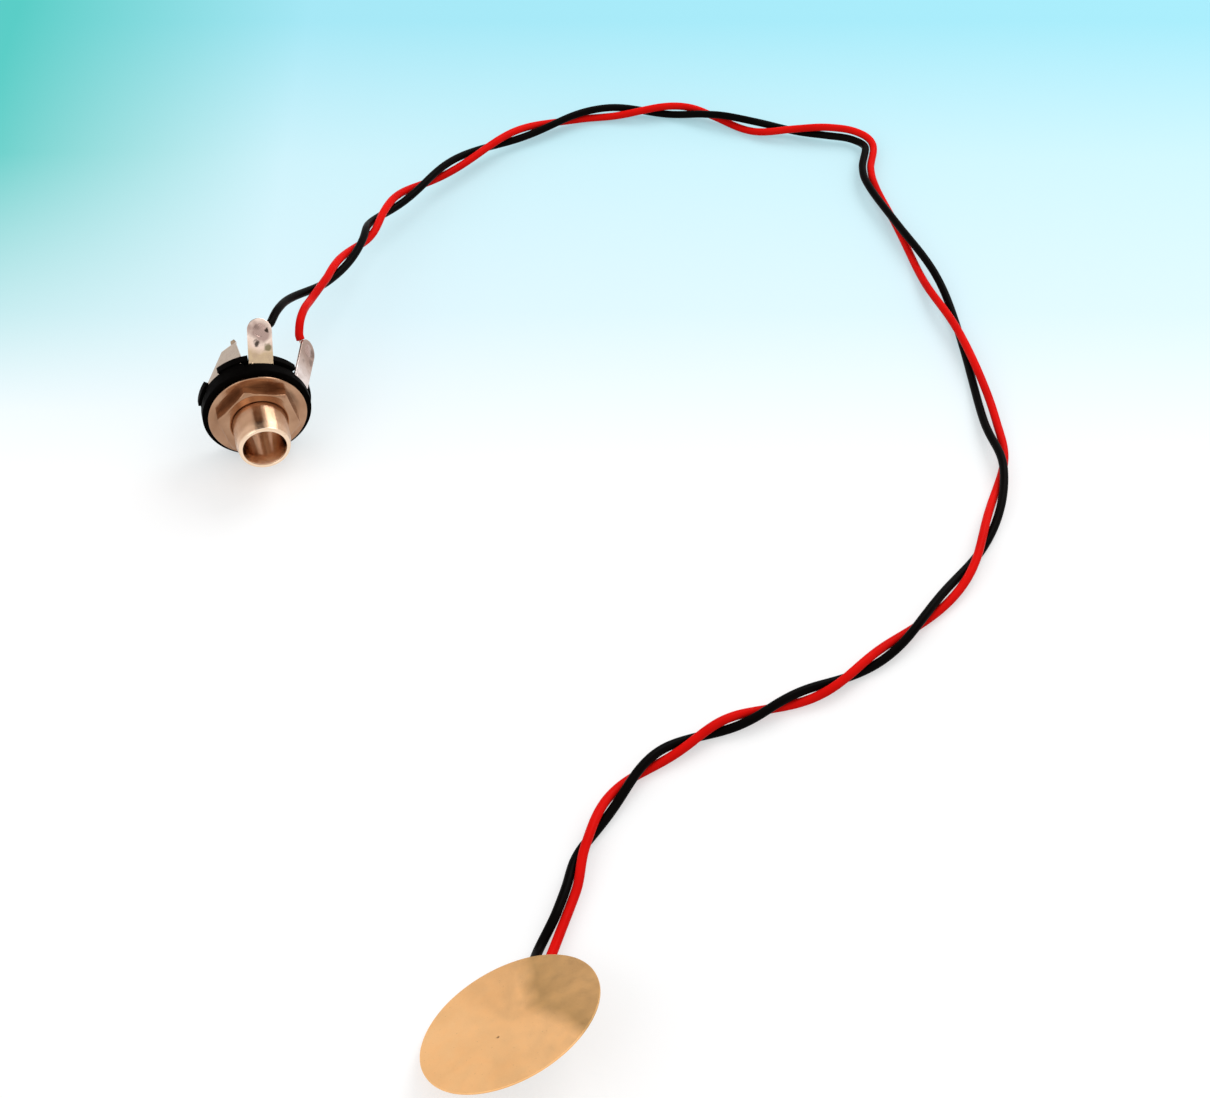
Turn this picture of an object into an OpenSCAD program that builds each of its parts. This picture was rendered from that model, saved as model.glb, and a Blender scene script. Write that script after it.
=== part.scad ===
// Contact piezo pickup: a brass piezo disc on a twisted pair of leads, soldered to
// an open-frame 6.35 mm panel jack. Everything lies on the plane z = 0, the jack's
// mouth looks along -Y, and the origin is under the middle of disc and jack.

/* [Piezo disc] */
// Diameter of the brass plate
disc_d = 27; // [25:0.5:30]
// Thickness of the brass plate
disc_t = 0.3; // [0.2:0.05:0.5]
// Diameter of the ceramic element
ceramic_d = 19.8; // [16:0.2:20]
// Thickness of the ceramic element
ceramic_t = 0.25; // [0.15:0.05:0.4]
// Width of the bare ceramic ring round the silver electrode
electrode_margin = 0.6; // [0.3:0.1:1.2]
// Lean of the disc, propped up on its leads
disc_tilt = 29.4; // [29.4]

/* [Jack bushing] */
// Diameter over the mounting thread
thread_d = 9.5; // [9:0.1:10]
// Length of the bushing in front of the insulators
thread_l = 9.5; // [8:0.5:12]
// Bore for the plug
bore_d = 6.5; // [6.4:0.05:6.7]
// Diameter of the hidden shoulder that the front insulator covers
shoulder_d = 13; // [12:0.5:14]

/* [Nut and washer] */
// Width of the hexagon nut across its flats
nut_af = 12.7; // [12:0.1:14]
// Thickness of the nut
nut_t = 2; // [1.6:0.2:3]
// Outer diameter of the washer
washer_d = 17.2; // [16:0.2:18]
// Thickness of the washer
washer_t = 0.8; // [0.5:0.1:1]
// Turn of the nut on its thread
nut_turn = 44.6; // [0:1:60]

/* [Insulator stack] */
// Diameter of the front insulator, the rim that the jack lies on
front_d = 19; // [19]
// Thickness of the front insulator
front_t = 1.6; // [1.5:0.1:2]
// Diameter over the toothed side of the rear insulator
ear_d = 19.7; // [19.2:0.1:20]
// Diameter of its plain side
plain_d = 18.7; // [18:0.1:18.9]
// Thickness of the rear insulator
rear_t = 1.4; // [1.2:0.1:1.8]
// Thickness of the washer between the two terminals
film_t = 0.3; // [0.2:0.05:0.5]

/* [Contacts] */
// Sheet thickness of the terminals
sheet_t = 0.4; // [0.3:0.05:0.5]
// Width of a solder lug
lug_w = 4.3; // [3.6:0.1:4.6]
// Length of the sleeve's solder lug behind its bend
sleeve_lug_l = 7.8; // [7:0.1:9]
// Length of the tip's solder lug behind its bend
tip_lug_l = 8.8; // [7:0.1:9]
// Outward lean of the sleeve's lug
sleeve_lug_lean = 36; // [20:1:38]
// Outward lean of the tip's lug
tip_lug_lean = 21; // [15:1:25]
// Diameter of the eye in each lug
eye_d = 2.2; // [1.6:0.1:2.4]

/* [Leads] */
// Diameter over the insulation of each lead
lead_d = 1.5; // [1.2:0.1:1.5]
// Diameter of the tinned strands at each end
strand_d = 0.7; // [0.5:0.05:0.9]
// Bare length at each joint on the jack
bare_l = 2.2; // [2:0.1:2.4]

/* [Hidden] */
$fn = 96;
eps = 0.01;

brass = [0.80, 0.62, 0.36];
nickel = [0.74, 0.70, 0.64];
tinned = [0.78, 0.77, 0.75];
phenolic = [0.05, 0.05, 0.05];
ceramic = [0.86, 0.83, 0.74];
silver = [0.88, 0.88, 0.87];
red_pvc = [0.75, 0.04, 0.03];
black_pvc = [0.03, 0.03, 0.03];

// ---- Small helpers ----

function unit(v) = v / norm(v);
function reversed(list) = [for (i = [len(list) - 1:-1:0]) list[i]];
// An arc of points round c, from angle a to angle b in steps cuts
function arc(c, r, a, b, steps) =
    [for (k = [0:steps]) c + r * [cos(a + (b - a) * k / steps), sin(a + (b - a) * k / steps)]];

// ---- Where things stand ----

jack_at = [-9.7, 62.8, front_d / 2];
disc_turn = 128.8;
disc_at = [6.35, -67.4, disc_d / 2 * sin(disc_tilt) + disc_t * cos(disc_tilt)];

// The disc's own axes: downhill, across the slope, and out of its plain face
disc_down = [cos(disc_turn) * cos(disc_tilt), sin(disc_turn) * cos(disc_tilt), -sin(disc_tilt)];
disc_across = [-sin(disc_turn), cos(disc_turn), 0];
disc_out = [cos(disc_turn) * sin(disc_tilt), sin(disc_turn) * sin(disc_tilt), cos(disc_tilt)];
function on_disc(p) = disc_at + p[0] * disc_down + p[1] * disc_across + p[2] * disc_out;

// Puts a thing from the disc's frame, +Z out of its plain face, into place
module place_disc() { translate(disc_at) rotate([0, 0, disc_turn]) rotate([0, disc_tilt, 0]) children(); }

// Puts a thing from the jack's frame, +Z out of its mouth and +Y up, into place
module place_jack() { translate(jack_at) rotate([90, 0, 0]) children(); }
function on_jack(p) = jack_at + [p[0], -p[2], p[1]];

// ---- Jack: levels behind the panel face, and the turns of what leaves its rim ----

tip_z = -front_t - sheet_t;
film_z = tip_z - film_t;
sleeve_z = film_z - sheet_t;
rear_z = sleeve_z - rear_t;
clamp_t = 0.4;
clamp_z = rear_z - clamp_t;
roll_t = 0.5;
tail_z = clamp_z - roll_t;

sleeve_turn = 77.5;
tip_turn = 25;
spring_turn = 122;
spring_notch_turn = 133;
ears_from = -14;
ears_to = 172;

neck_d = thread_d - 0.4; // behind the panel face, and where the nut's thread meshes
roll_d = neck_d + 1.4;
clamp_d = 13;
hub_d = 10.8;
mouth_d = bore_d + 1.1;
mouth_l = 2;
nose_chamfer = 0.35;
gap = 0.05;

terminal_ring_d = 15.4;
bend_r = 0.7;
lug_bend_r = front_d / 2 - sheet_t / 2;
notch_r = lug_bend_r - bend_r - 0.1;
notch_w = lug_w + 0.2;

// ---- Bushing, nut and washer ----

module bushing() {
    color(nickel) place_jack() rotate_extrude() polygon([
        [bore_d / 2, tail_z], [roll_d / 2 - 0.3, tail_z], [roll_d / 2, tail_z + 0.25],
        [roll_d / 2, clamp_z], [neck_d / 2, clamp_z], [neck_d / 2, -front_t + 0.8],
        [shoulder_d / 2, -front_t + 0.8], [shoulder_d / 2, 0], [neck_d / 2, 0],
        [neck_d / 2, washer_t + nut_t], [thread_d / 2, washer_t + nut_t],
        [thread_d / 2, thread_l - nose_chamfer], [thread_d / 2 - nose_chamfer, thread_l],
        [mouth_d / 2, thread_l], [bore_d / 2, thread_l - mouth_l]]);
}

module panel_washer() {
    color(nickel) place_jack() difference() {
        cylinder(d = washer_d, h = washer_t);
        translate([0, 0, -eps]) cylinder(d = thread_d + 4 * gap, h = washer_t + 2 * eps);
    }
}

// Hexagon nut, its front corners turned off by a cone
module panel_nut() {
    corner_d = nut_af / cos(30);
    color(nickel) place_jack() translate([0, 0, washer_t]) difference() {
        intersection() {
            rotate(nut_turn) cylinder(d = corner_d, h = nut_t, $fn = 6);
            rotate_extrude() polygon([[0, 0], [corner_d / 2, 0], [corner_d / 2, nut_t - 0.45],
                [nut_af / 2 - 0.1, nut_t], [0, nut_t]]);
        }
        translate([0, 0, -eps]) cylinder(d = neck_d, h = nut_t + 2 * eps);
        translate([0, 0, nut_t - 0.3]) cylinder(d1 = neck_d, d2 = thread_d + 0.6, h = 0.3 + eps);
    }
}

// ---- Insulators ----

// Front insulator: the rim the jack lies on, moulded round the bushing's shoulder. Behind,
// a collar keeps the tip terminal off the bushing, and a raised rim with two gaps in it
// lets the terminal's lug and spring out
module front_insulator() {
    neck_r = neck_d / 2 + gap;
    recess_z = -front_t + 0.8 - gap;
    ring_r = terminal_ring_d / 2 + gap;
    color(phenolic) place_jack() difference() {
        rotate_extrude() polygon([
            [neck_r, tip_z], [hub_d / 2, tip_z], [hub_d / 2, -front_t], [ring_r, -front_t],
            [ring_r, tip_z], [front_d / 2, tip_z],
            [front_d / 2, -0.25], [front_d / 2 - 0.25, 0], [shoulder_d / 2 + gap, 0],
            [shoulder_d / 2 + gap, recess_z], [neck_r, recess_z]]);
        rotate(tip_turn) translate([ring_r - 1, -notch_w / 2, tip_z - 1])
            cube([5, notch_w, 1 + sheet_t]);
        rotate(spring_turn) translate([ring_r - 2, -spring_base_w / 2 - 0.1, tip_z - 1])
            cube([spring_slot_r + spring_slot_w - ring_r + 2, spring_base_w + 0.2, 1 + sheet_t]);
    }
}

module insulating_washer() {
    color(phenolic) place_jack() translate([0, 0, film_z]) difference() {
        cylinder(d = terminal_ring_d, h = film_t);
        translate([0, 0, -eps]) cylinder(d = neck_d + 2 * gap, h = film_t + 2 * eps);
    }
}

// A flat-bottomed notch in the rim, as deep as radius r, for a strip to pass
module notch(turn, r) {
    rotate(turn) translate([r, -notch_w / 2]) square([4, notch_w]);
}

// Rear insulator: a large toothed half and a smaller plain half
module rear_insulator() {
    color(phenolic) place_jack() translate([0, 0, rear_z]) linear_extrude(rear_t) difference() {
        union() {
            circle(d = plain_d);
            polygon(concat([[0, 0]], arc([0, 0], ear_d / 2, ears_from, ears_to, 48)));
        }
        circle(d = neck_d + 2 * gap);
        notch(sleeve_turn, notch_r);
        notch(tip_turn, notch_r);
        notch(spring_notch_turn, notch_r - 0.2);
        rotate(spring_turn) translate([spring_slot_r, -spring_base_w / 2 - 0.1])
            square([spring_slot_w, spring_base_w + 0.2]);
    }
}

// Steel washer that the rolled end of the bushing holds
module clamp_washer() {
    color(nickel) place_jack() translate([0, 0, clamp_z]) difference() {
        cylinder(d = clamp_d, h = clamp_t);
        translate([0, 0, -eps]) cylinder(d = neck_d + 2 * gap, h = clamp_t + 2 * eps);
    }
}

// ---- Sheet-metal contacts ----

// Outline of a strip of thickness t whose middle line follows path
function strip_left(path, t) = [for (i = [0:len(path) - 1])
    let (a = path[max(i - 1, 0)], b = path[i], c = path[min(i + 1, len(path) - 1)],
        d1 = i == 0 ? unit(c - b) : unit(b - a),
        d2 = i == len(path) - 1 ? d1 : unit(c - b),
        n = unit([-d1[1] - d2[1], d1[0] + d2[0]]),
        m = t / 2 / (n * [-d1[1], d1[0]]))
    b + m * n];
function strip_outline(path, t) = concat(strip_left(path, t), strip_left(reversed(path), t));

// A strip w wide with the side view path: x runs out from the jack's axis, y forward
module strip(path, w) {
    rotate([90, 0, 0]) translate([0, 0, -w / 2]) linear_extrude(w)
        polygon(strip_outline(path, sheet_t));
}

// Side view of a lug: out along the ring, round the bend, then back with a lean
function lug_path(z, lean, l) = let (c = [lug_bend_r - bend_r, z - bend_r])
    concat([[terminal_ring_d / 2 - 1, z]], arc(c, bend_r, 90, lean, 4),
        [c + bend_r * [cos(lean), sin(lean)] + l * [sin(lean), -cos(lean)]]);

// Point on a lug's middle line, s from the end of the bend and off towards the axis
function lug_point(turn, z, lean, s, side, inward) =
    let (c = [lug_bend_r - bend_r, z - bend_r],
        q = c + bend_r * [cos(lean), sin(lean)] + s * [sin(lean), -cos(lean)]
            - inward * [cos(lean), sin(lean)])
    on_jack([q[0] * cos(turn) - side * sin(turn), q[0] * sin(turn) + side * cos(turn), q[1]]);

// Turns a thing drawn flat, eye at the origin and tip along +X, onto a lug at s
module on_lug(turn, z, lean, s) {
    c = [lug_bend_r - bend_r, z - bend_r];
    q = c + bend_r * [cos(lean), sin(lean)] + s * [sin(lean), -cos(lean)];
    rotate(turn) translate([q[0], 0, q[1]]) rotate([0, 90 - lean, 0]) children();
}

// A solder lug: bent strip, rounded end and eye. The end's radius is a little over half
// the width, so that its arc meets the sides at a slight corner, as a punch leaves it
module lug(turn, z, lean, l) {
    difference() {
        rotate(turn) strip(lug_path(z, lean, l), lug_w);
        on_lug(turn, z, lean, l - lug_w / 2) translate([0, 0, -1]) linear_extrude(2) difference() {
            translate([0, -lug_w]) square([lug_w, 2 * lug_w]);
            circle(r = lug_w / 2 + gap);
        }
        on_lug(turn, z, lean, l - lug_w / 2) cylinder(d = eye_d, h = 2, center = true);
    }
}

module terminal_ring(z, inner_d) {
    translate([0, 0, z]) difference() {
        cylinder(d = terminal_ring_d, h = sheet_t);
        translate([0, 0, -eps]) cylinder(d = inner_d, h = sheet_t + 2 * eps);
    }
}

module sleeve_terminal() {
    color(tinned) place_jack() union() {
        terminal_ring(sleeve_z, neck_d);
        lug(sleeve_turn, sleeve_z + sheet_t / 2, sleeve_lug_lean, sleeve_lug_l);
    }
}

// Tip contact spring: a broad arm leans in to the plug's groove, narrows, and turns out
// again at its end
spring_bend_r = 8.5;
spring_slot_r = 7.7;
spring_slot_w = 1.1;
spring_base_w = 7.6;
spring_shoulder = [5.1, -13.4];
spring_shoulder_w = 3.2;
spring_ridge = [3.05, -16.6];
spring_end = [3.3, -17.2];
spring_end_w = 0.9;

function spring_path() = let (c = [spring_bend_r - bend_r, tip_z + sheet_t / 2 - bend_r],
        lean = -atan((spring_bend_r - spring_shoulder[0]) / (c[1] - spring_shoulder[1])))
    concat([[terminal_ring_d / 2 - 1, tip_z + sheet_t / 2]], arc(c, bend_r, 90, lean, 4),
        [spring_shoulder, spring_ridge, spring_end]);

module contact_spring() {
    back = -spring_end[1] + 0.3;
    base = spring_base_w / 2;
    shoulder = spring_shoulder_w / 2;
    rotate(spring_turn) intersection() {
        strip(spring_path(), spring_base_w + 1);
        // tapered plan of the arm, seen along the radius
        rotate([0, 90, 0]) linear_extrude(20) polygon([
            [-tip_z - 1, -base], [-rear_z, -base], [-spring_shoulder[1], -shoulder],
            [back, -spring_end_w / 2], [back, spring_end_w / 2],
            [-spring_shoulder[1], shoulder], [-rear_z, base], [-tip_z - 1, base]]);
    }
}

module tip_terminal() {
    color(tinned) place_jack() union() {
        terminal_ring(tip_z, hub_d + 2 * gap);
        lug(tip_turn, tip_z + sheet_t / 2, tip_lug_lean, tip_lug_l);
        contact_spring();
    }
}

// ---- Lead routes ----

// Route of the twisted pair from jack to disc: x, y and z of its middle line, the
// quarter turns of twist so far, and how far apart the two leads run
pair_route = [
    [7.4, 91.5, 13.6, 1, 1.6], [16.3, 105.3, 10.8, 3, 1.6], [22.3, 116.5, 8.4, 5, 1.6],
    [33, 128, 5.8, 7, 1.7], [48.6, 140.3, 3.4, 9, 1.7], [65, 147, 2.1, 11, 1.6],
    [75.5, 148, 1.8, 12, 1.8], [89.8, 145, 1.8, 14, 1.7], [96, 141.5, 1.8, 15, 1.7],
    [103, 135.5, 1.9, 16, 2], [110.5, 132.3, 1.9, 17, 1.8], [117, 129.5, 2.3, 17.6, 1.8],
    [121.9, 127.1, 2.1, 17.8, 1.7], [123.9, 122.9, 2, 18, 1.6], [120.9, 115.6, 2, 18.1, 1.7],
    [120, 109, 1.9, 18.5, 1.9], [120.5, 96, 1.9, 19, 1.7], [121, 77.5, 2, 20, 2.5],
    [120.5, 60, 1.8, 21, 1.7],
    [117.5, 38, 1.8, 22, 2.1], [114.5, 24, 1.9, 23, 1.7], [102.2, 5.2, 1.8, 25, 1.7],
    [86.8, -7.3, 1.8, 27, 1.6], [72.3, -14.8, 1.8, 29, 1.6], [58.5, -18, 1.8, 31, 1.6],
    [46.2, -20.8, 1.8, 33, 1.6], [34.5, -26.2, 1.8, 35, 1.6], [24.6, -36.7, 1.9, 37, 1.6],
    [20.5, -44.5, 2, 38, 2.3], [16, -52, 2.2, 38, 1.6]];
// Quarter turns are counted from this slanted direction
twist_from = [-0.2, -0.7, 0.7];
// Extra room between the plain tubes of the two leads
tube_room = 0.3;
// Rings of a tube on a stretch of the route that has two quarter turns, and on a shorter one
rings_long = 3;
rings_short = 2;

// Which way each lead leaves its joint, and where it goes before the pair starts
red_leaves = [-0.12, 0.64, 0.76];
red_start = [[0.6, 75.6, 18], [1.9, 79.5, 17.4], [3.8, 84.2, 15.7]];
black_leaves = [0.71, 0.69, -0.14];
black_start = [[-2.9, 77, 20.2], [0, 82.7, 17.7]];
red_arrives = [0.46, 0.80, -0.38];
black_arrives = [0.40, 0.83, -0.40];
straight_l = 1;
arrive_l = 3.4;

// Joints: on the lugs' eyes, and on the underside of the disc
strand_off = 0.6;
red_disc_joint = [7.4 * cos(-73), 7.4 * sin(-73)];
black_disc_joint = [11.6 * cos(-61), 11.6 * sin(-61)];
disc_bare_l = 1.9;
stack_t = disc_t + ceramic_t + 0.05;

red_lug_joint = lug_point(tip_turn, tip_z + sheet_t / 2, tip_lug_lean, tip_lug_l - lug_w / 2,
    0, strand_off);
black_lug_joint = lug_point(sleeve_turn, sleeve_z + sheet_t / 2, sleeve_lug_lean,
    sleeve_lug_l - lug_w / 2, 0, strand_off);
red_disc_end = on_disc([red_disc_joint[0], red_disc_joint[1], -stack_t - strand_off]);
black_disc_end = on_disc([black_disc_joint[0], black_disc_joint[1], -disc_t - strand_off]);

function along(p, v, s) = p + s * unit(v);

// Smooth curve through the points p: u = 0 is the first point, u = 1 the second
function curve_at(p, u) = let (n = len(p), i = min(floor(u), n - 2), t = u - i,
        a = p[max(i - 1, 0)], b = p[i], c = p[i + 1], d = p[min(i + 2, n - 1)])
    0.5 * (2 * b + (c - a) * t + (2 * a - 5 * b + 4 * c - d) * t * t
        + (3 * b - a - 3 * c + d) * t * t * t);

// One lead of the pair at u: side is 1 for red and -1 for black
function place_of(row) = [row[0], row[1], row[2]];
function strand(u, side) = let (row = curve_at(pair_route, u), last = len(pair_route) - 1,
        way = place_of(curve_at(pair_route, min(u + 0.05, last)))
            - place_of(curve_at(pair_route, max(u - 0.05, 0))),
        across = unit(cross(unit(way), twist_from)), up = cross(across, unit(way)),
        turn = 90 * row[3])
    place_of(row) + side * (row[4] + tube_room) / 2 * (cos(turn) * across + sin(turn) * up);

function rings_on(i) = pair_route[i + 1][3] - pair_route[i][3] > 1.5 ? rings_long : rings_short;

// Middle line of a lead, a point to each ring: out of its joint, along the pair, and in
// under the disc
function lead_line(joint, leaves, start, side, last, arrives, last_l) = let (
        end = len(pair_route) - 1,
        out = concat([along(joint, leaves, bare_l), along(joint, leaves, bare_l + straight_l)],
            start, [strand(0, side), strand(0.5, side)]))
    concat([out[0]], [for (u = [1:0.5:len(out) - 2.5]) curve_at(out, u)],
        [for (i = [0:end - 1]) let (n = rings_on(i)) for (k = [0:n - 1]) strand(i + k / n, side)],
        [along(last, arrives, last_l + arrive_l), along(last, arrives, last_l)]);

red_line = lead_line(red_lug_joint, red_leaves, red_start, 1,
    red_disc_end, red_arrives, disc_bare_l + 0.3);
black_line = lead_line(black_lug_joint, black_leaves, black_start, -1,
    black_disc_end, black_arrives, disc_bare_l);

// A round tube of diameter d along points, eight-sided
module tube(points, d) {
    n = len(points);
    sides = 8;
    function way(i) = i == 0 ? unit(points[1] - points[0])
        : i == n - 1 ? unit(points[n - 1] - points[n - 2])
        : unit(unit(points[i + 1] - points[i]) + unit(points[i] - points[i - 1]));
    rings = [for (i = [0:n - 1]) let (w = way(i), u = unit(cross(w, [0, 0, 1])), v = cross(u, w))
        for (k = [0:sides - 1]) points[i] + d / 2 * (cos(45 * k) * u + sin(45 * k) * v)];
    walls = [for (i = [0:n - 2], k = [0:sides - 1]) let (a = i * sides + k,
            b = i * sides + (k + 1) % sides)
        each [[a, b, b + sides], [a, b + sides, a + sides]]];
    polyhedron(rings, concat([reversed([for (k = [0:sides - 1]) k])], walls,
        [[for (k = [0:sides - 1]) (n - 1) * sides + k]]));
}

module red_lead() { color(red_pvc) tube(red_line, lead_d); }
module black_lead() { color(black_pvc) tube(black_line, lead_d); }

// ---- Bare strands and solder ----

// A straight rod of diameter d from p to q
module rod(p, q, d) {
    v = q - p;
    translate(p) rotate([0, acos(v[2] / norm(v)), atan2(v[1], v[0])]) cylinder(d = d, h = norm(v), $fn = 24);
}

module strands(joint, leaves, l) {
    color(tinned) rod(along(joint, leaves, -0.3), along(joint, leaves, l), strand_d);
}
module lug_strands_red() { strands(red_lug_joint, red_leaves, bare_l); }
module lug_strands_black() { strands(black_lug_joint, black_leaves, bare_l); }
module disc_strands_red() { strands(red_disc_end, red_arrives, disc_bare_l + 0.3); }
module disc_strands_black() { strands(black_disc_end, black_arrives, disc_bare_l); }

// A drop of solder with base radius r and height h, standing on z = 0
module drop(r, h) {
    ball = (r * r + h * h) / (2 * h);
    intersection() {
        translate([0, 0, h - ball]) sphere(r = ball);
        cylinder(r = 2 * r, h = 2 * h);
    }
}

// Solder through a lug's eye: a drop on each face and a plug that leaves a sliver open
module lug_solder(turn, z, lean, l) {
    place_jack() on_lug(turn, z, lean, l - lug_w / 2) {
        translate([0.1, -0.15, sheet_t / 2]) drop(1.15, 0.5);
        translate([0, 0, -sheet_t / 2 - eps]) translate([0.1, -0.15, 0])
            cylinder(d = eye_d - 0.4, h = sheet_t + 2 * eps);
        mirror([0, 0, 1]) translate([0, 0, sheet_t / 2]) drop(1.5, 1.1);
    }
}
module lug_solder_red() {
    color(tinned) difference() {
        lug_solder(tip_turn, tip_z + sheet_t / 2, tip_lug_lean, tip_lug_l);
        rod(along(red_lug_joint, red_leaves, -0.3), along(red_lug_joint, red_leaves, bare_l), strand_d);
    }
}
module lug_solder_black() {
    color(tinned) difference() {
        lug_solder(sleeve_turn, sleeve_z + sheet_t / 2, sleeve_lug_lean, sleeve_lug_l);
        rod(along(black_lug_joint, black_leaves, -0.3), along(black_lug_joint, black_leaves, bare_l),
            strand_d);
    }
}

module disc_drop(at, level, r, h) {
    place_disc() translate([at[0], at[1], -level]) mirror([0, 0, 1]) drop(r, h);
}
module disc_solder_red() {
    color(tinned) difference() {
        disc_drop(red_disc_joint, stack_t, 1.5, 1.2);
        rod(along(red_disc_end, red_arrives, -0.3), along(red_disc_end, red_arrives, 3), strand_d);
    }
}
module disc_solder_black() {
    color(tinned) difference() {
        disc_drop(black_disc_joint, disc_t, 1.35, 1.2);
        rod(along(black_disc_end, black_arrives, -0.3), along(black_disc_end, black_arrives, 3), strand_d);
    }
}

// ---- Disc ----

module brass_disc() {
    color(brass) place_disc() translate([0, 0, -disc_t]) cylinder(d = disc_d, h = disc_t, $fn = 128);
}
module ceramic_element() {
    color(ceramic) place_disc() translate([0, 0, -disc_t - ceramic_t])
        cylinder(d = ceramic_d, h = ceramic_t);
}
module silver_electrode() {
    color(silver) place_disc() translate([0, 0, -stack_t])
        cylinder(d = ceramic_d - 2 * electrode_margin, h = stack_t - disc_t - ceramic_t);
}

brass_disc();
ceramic_element();
silver_electrode();
disc_solder_red();
disc_solder_black();
disc_strands_red();
disc_strands_black();
red_lead();
black_lead();
bushing();
panel_nut();
panel_washer();
front_insulator();
insulating_washer();
rear_insulator();
clamp_washer();
sleeve_terminal();
tip_terminal();
lug_solder_red();
lug_solder_black();
lug_strands_red();
lug_strands_black();
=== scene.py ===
"""Looks of a contact piezo pickup: brass disc, twisted pair of leads, open-frame jack.

Lengths are written in millimetres, as in the part's source, and turned into metres
where a mesh is made. The jack's own frame has +Z out of its mouth and +Y up; the disc's
has +Z out of its plain face.
"""
import math

import bpy
import numpy as np
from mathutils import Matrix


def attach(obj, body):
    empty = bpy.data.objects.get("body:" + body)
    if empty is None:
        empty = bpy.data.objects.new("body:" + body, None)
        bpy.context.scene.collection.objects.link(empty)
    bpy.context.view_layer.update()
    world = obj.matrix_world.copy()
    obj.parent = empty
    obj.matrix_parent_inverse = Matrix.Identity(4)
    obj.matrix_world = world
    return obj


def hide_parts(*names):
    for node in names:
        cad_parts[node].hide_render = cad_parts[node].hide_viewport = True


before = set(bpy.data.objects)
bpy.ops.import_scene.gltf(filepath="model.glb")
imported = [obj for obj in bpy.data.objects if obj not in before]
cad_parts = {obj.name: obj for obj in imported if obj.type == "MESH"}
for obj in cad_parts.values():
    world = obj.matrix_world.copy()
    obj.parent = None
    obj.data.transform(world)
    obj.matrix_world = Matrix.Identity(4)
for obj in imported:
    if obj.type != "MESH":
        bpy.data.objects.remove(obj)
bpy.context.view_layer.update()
MM = 0.001

# ---- Sizes, as the part's source has them ----

DISC_D, DISC_T = 27.0, 0.3
CERAMIC_D, CERAMIC_T = 19.8, 0.25
ELECTRODE_MARGIN, ELECTRODE_T = 0.6, 0.05
DISC_TILT, DISC_TURN = 29.4, 128.8
DISC_AT = np.array([6.35, -67.4, 6.8885])
PIT_X, PIT_Y, PIT_R, PIT_DEEP = -0.49, 2.94, 0.16, 0.12
JACK_AT = np.array([-9.7, 62.8, 9.5])

THREAD_D, THREAD_L, BORE_D = 9.5, 9.5, 6.5
NECK_D, ROLL_D, SHOULDER_D, SHOULDER_T = 9.1, 10.5, 13.0, 0.8
MOUTH_D, MOUTH_L, MOUTH_TAPER, MOUTH_TAPER_L = 7.6, 2.0, 0.36, 1.8
NUT_AF, NUT_T, NUT_TURN = 12.7, 2.0, 44.6
WASHER_D, WASHER_T = 17.2, 0.8
FRONT_D, FRONT_T, HUB_D = 19.0, 1.6, 10.8
SHEET_T, FILM_T, REAR_T, CLAMP_T, ROLL_T = 0.4, 0.3, 1.4, 0.4, 0.5
EAR_D, PLAIN_D, EARS_FROM, EARS_TO = 19.7, 18.7, -14.0, 172.0
CLAMP_D, TERMINAL_RING_D, GAP = 13.0, 15.4, 0.05
TIP_Z = -FRONT_T - SHEET_T
FILM_Z = TIP_Z - FILM_T
SLEEVE_Z = FILM_Z - SHEET_T
REAR_Z = SLEEVE_Z - REAR_T
CLAMP_Z = REAR_Z - CLAMP_T
TAIL_Z = CLAMP_Z - ROLL_T

LUG_W, EYE_D, BEND_R, LUG_BEND_R = 4.3, 2.2, 0.7, 9.3
SHEET_EDGE = 0.09
SLEEVE_LUG = dict(turn=77.5, z=SLEEVE_Z + SHEET_T / 2, lean=36.0, long=7.8)
TIP_LUG = dict(turn=25.0, z=TIP_Z + SHEET_T / 2, lean=21.0, long=8.8)
SPRING_TURN, SPRING_BEND_R, SPRING_BASE_W = 122.0, 8.5, 7.6
SPRING_SHOULDER, SPRING_SHOULDER_W = (5.1, -13.4), 3.2
SPRING_RIDGE, SPRING_END, SPRING_END_W = (3.05, -16.6), (3.3, -17.2), 0.6
SPRING_SLOT_R, SPRING_SLOT_W = 7.7, 1.1
NOTCH_R, NOTCH_W = LUG_BEND_R - BEND_R - 0.1, LUG_W + 0.2

LEAD_D, STRAND_D, BARE_L, DISC_BARE_L = 1.5, 0.7, 2.2, 1.9
RED_DISC_BARE_L = DISC_BARE_L + 0.3
STRAND_OFF, WIRE_IN_SOLDER, WIRE_IN_COVER = 0.6, 0.2, 0.7

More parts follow.
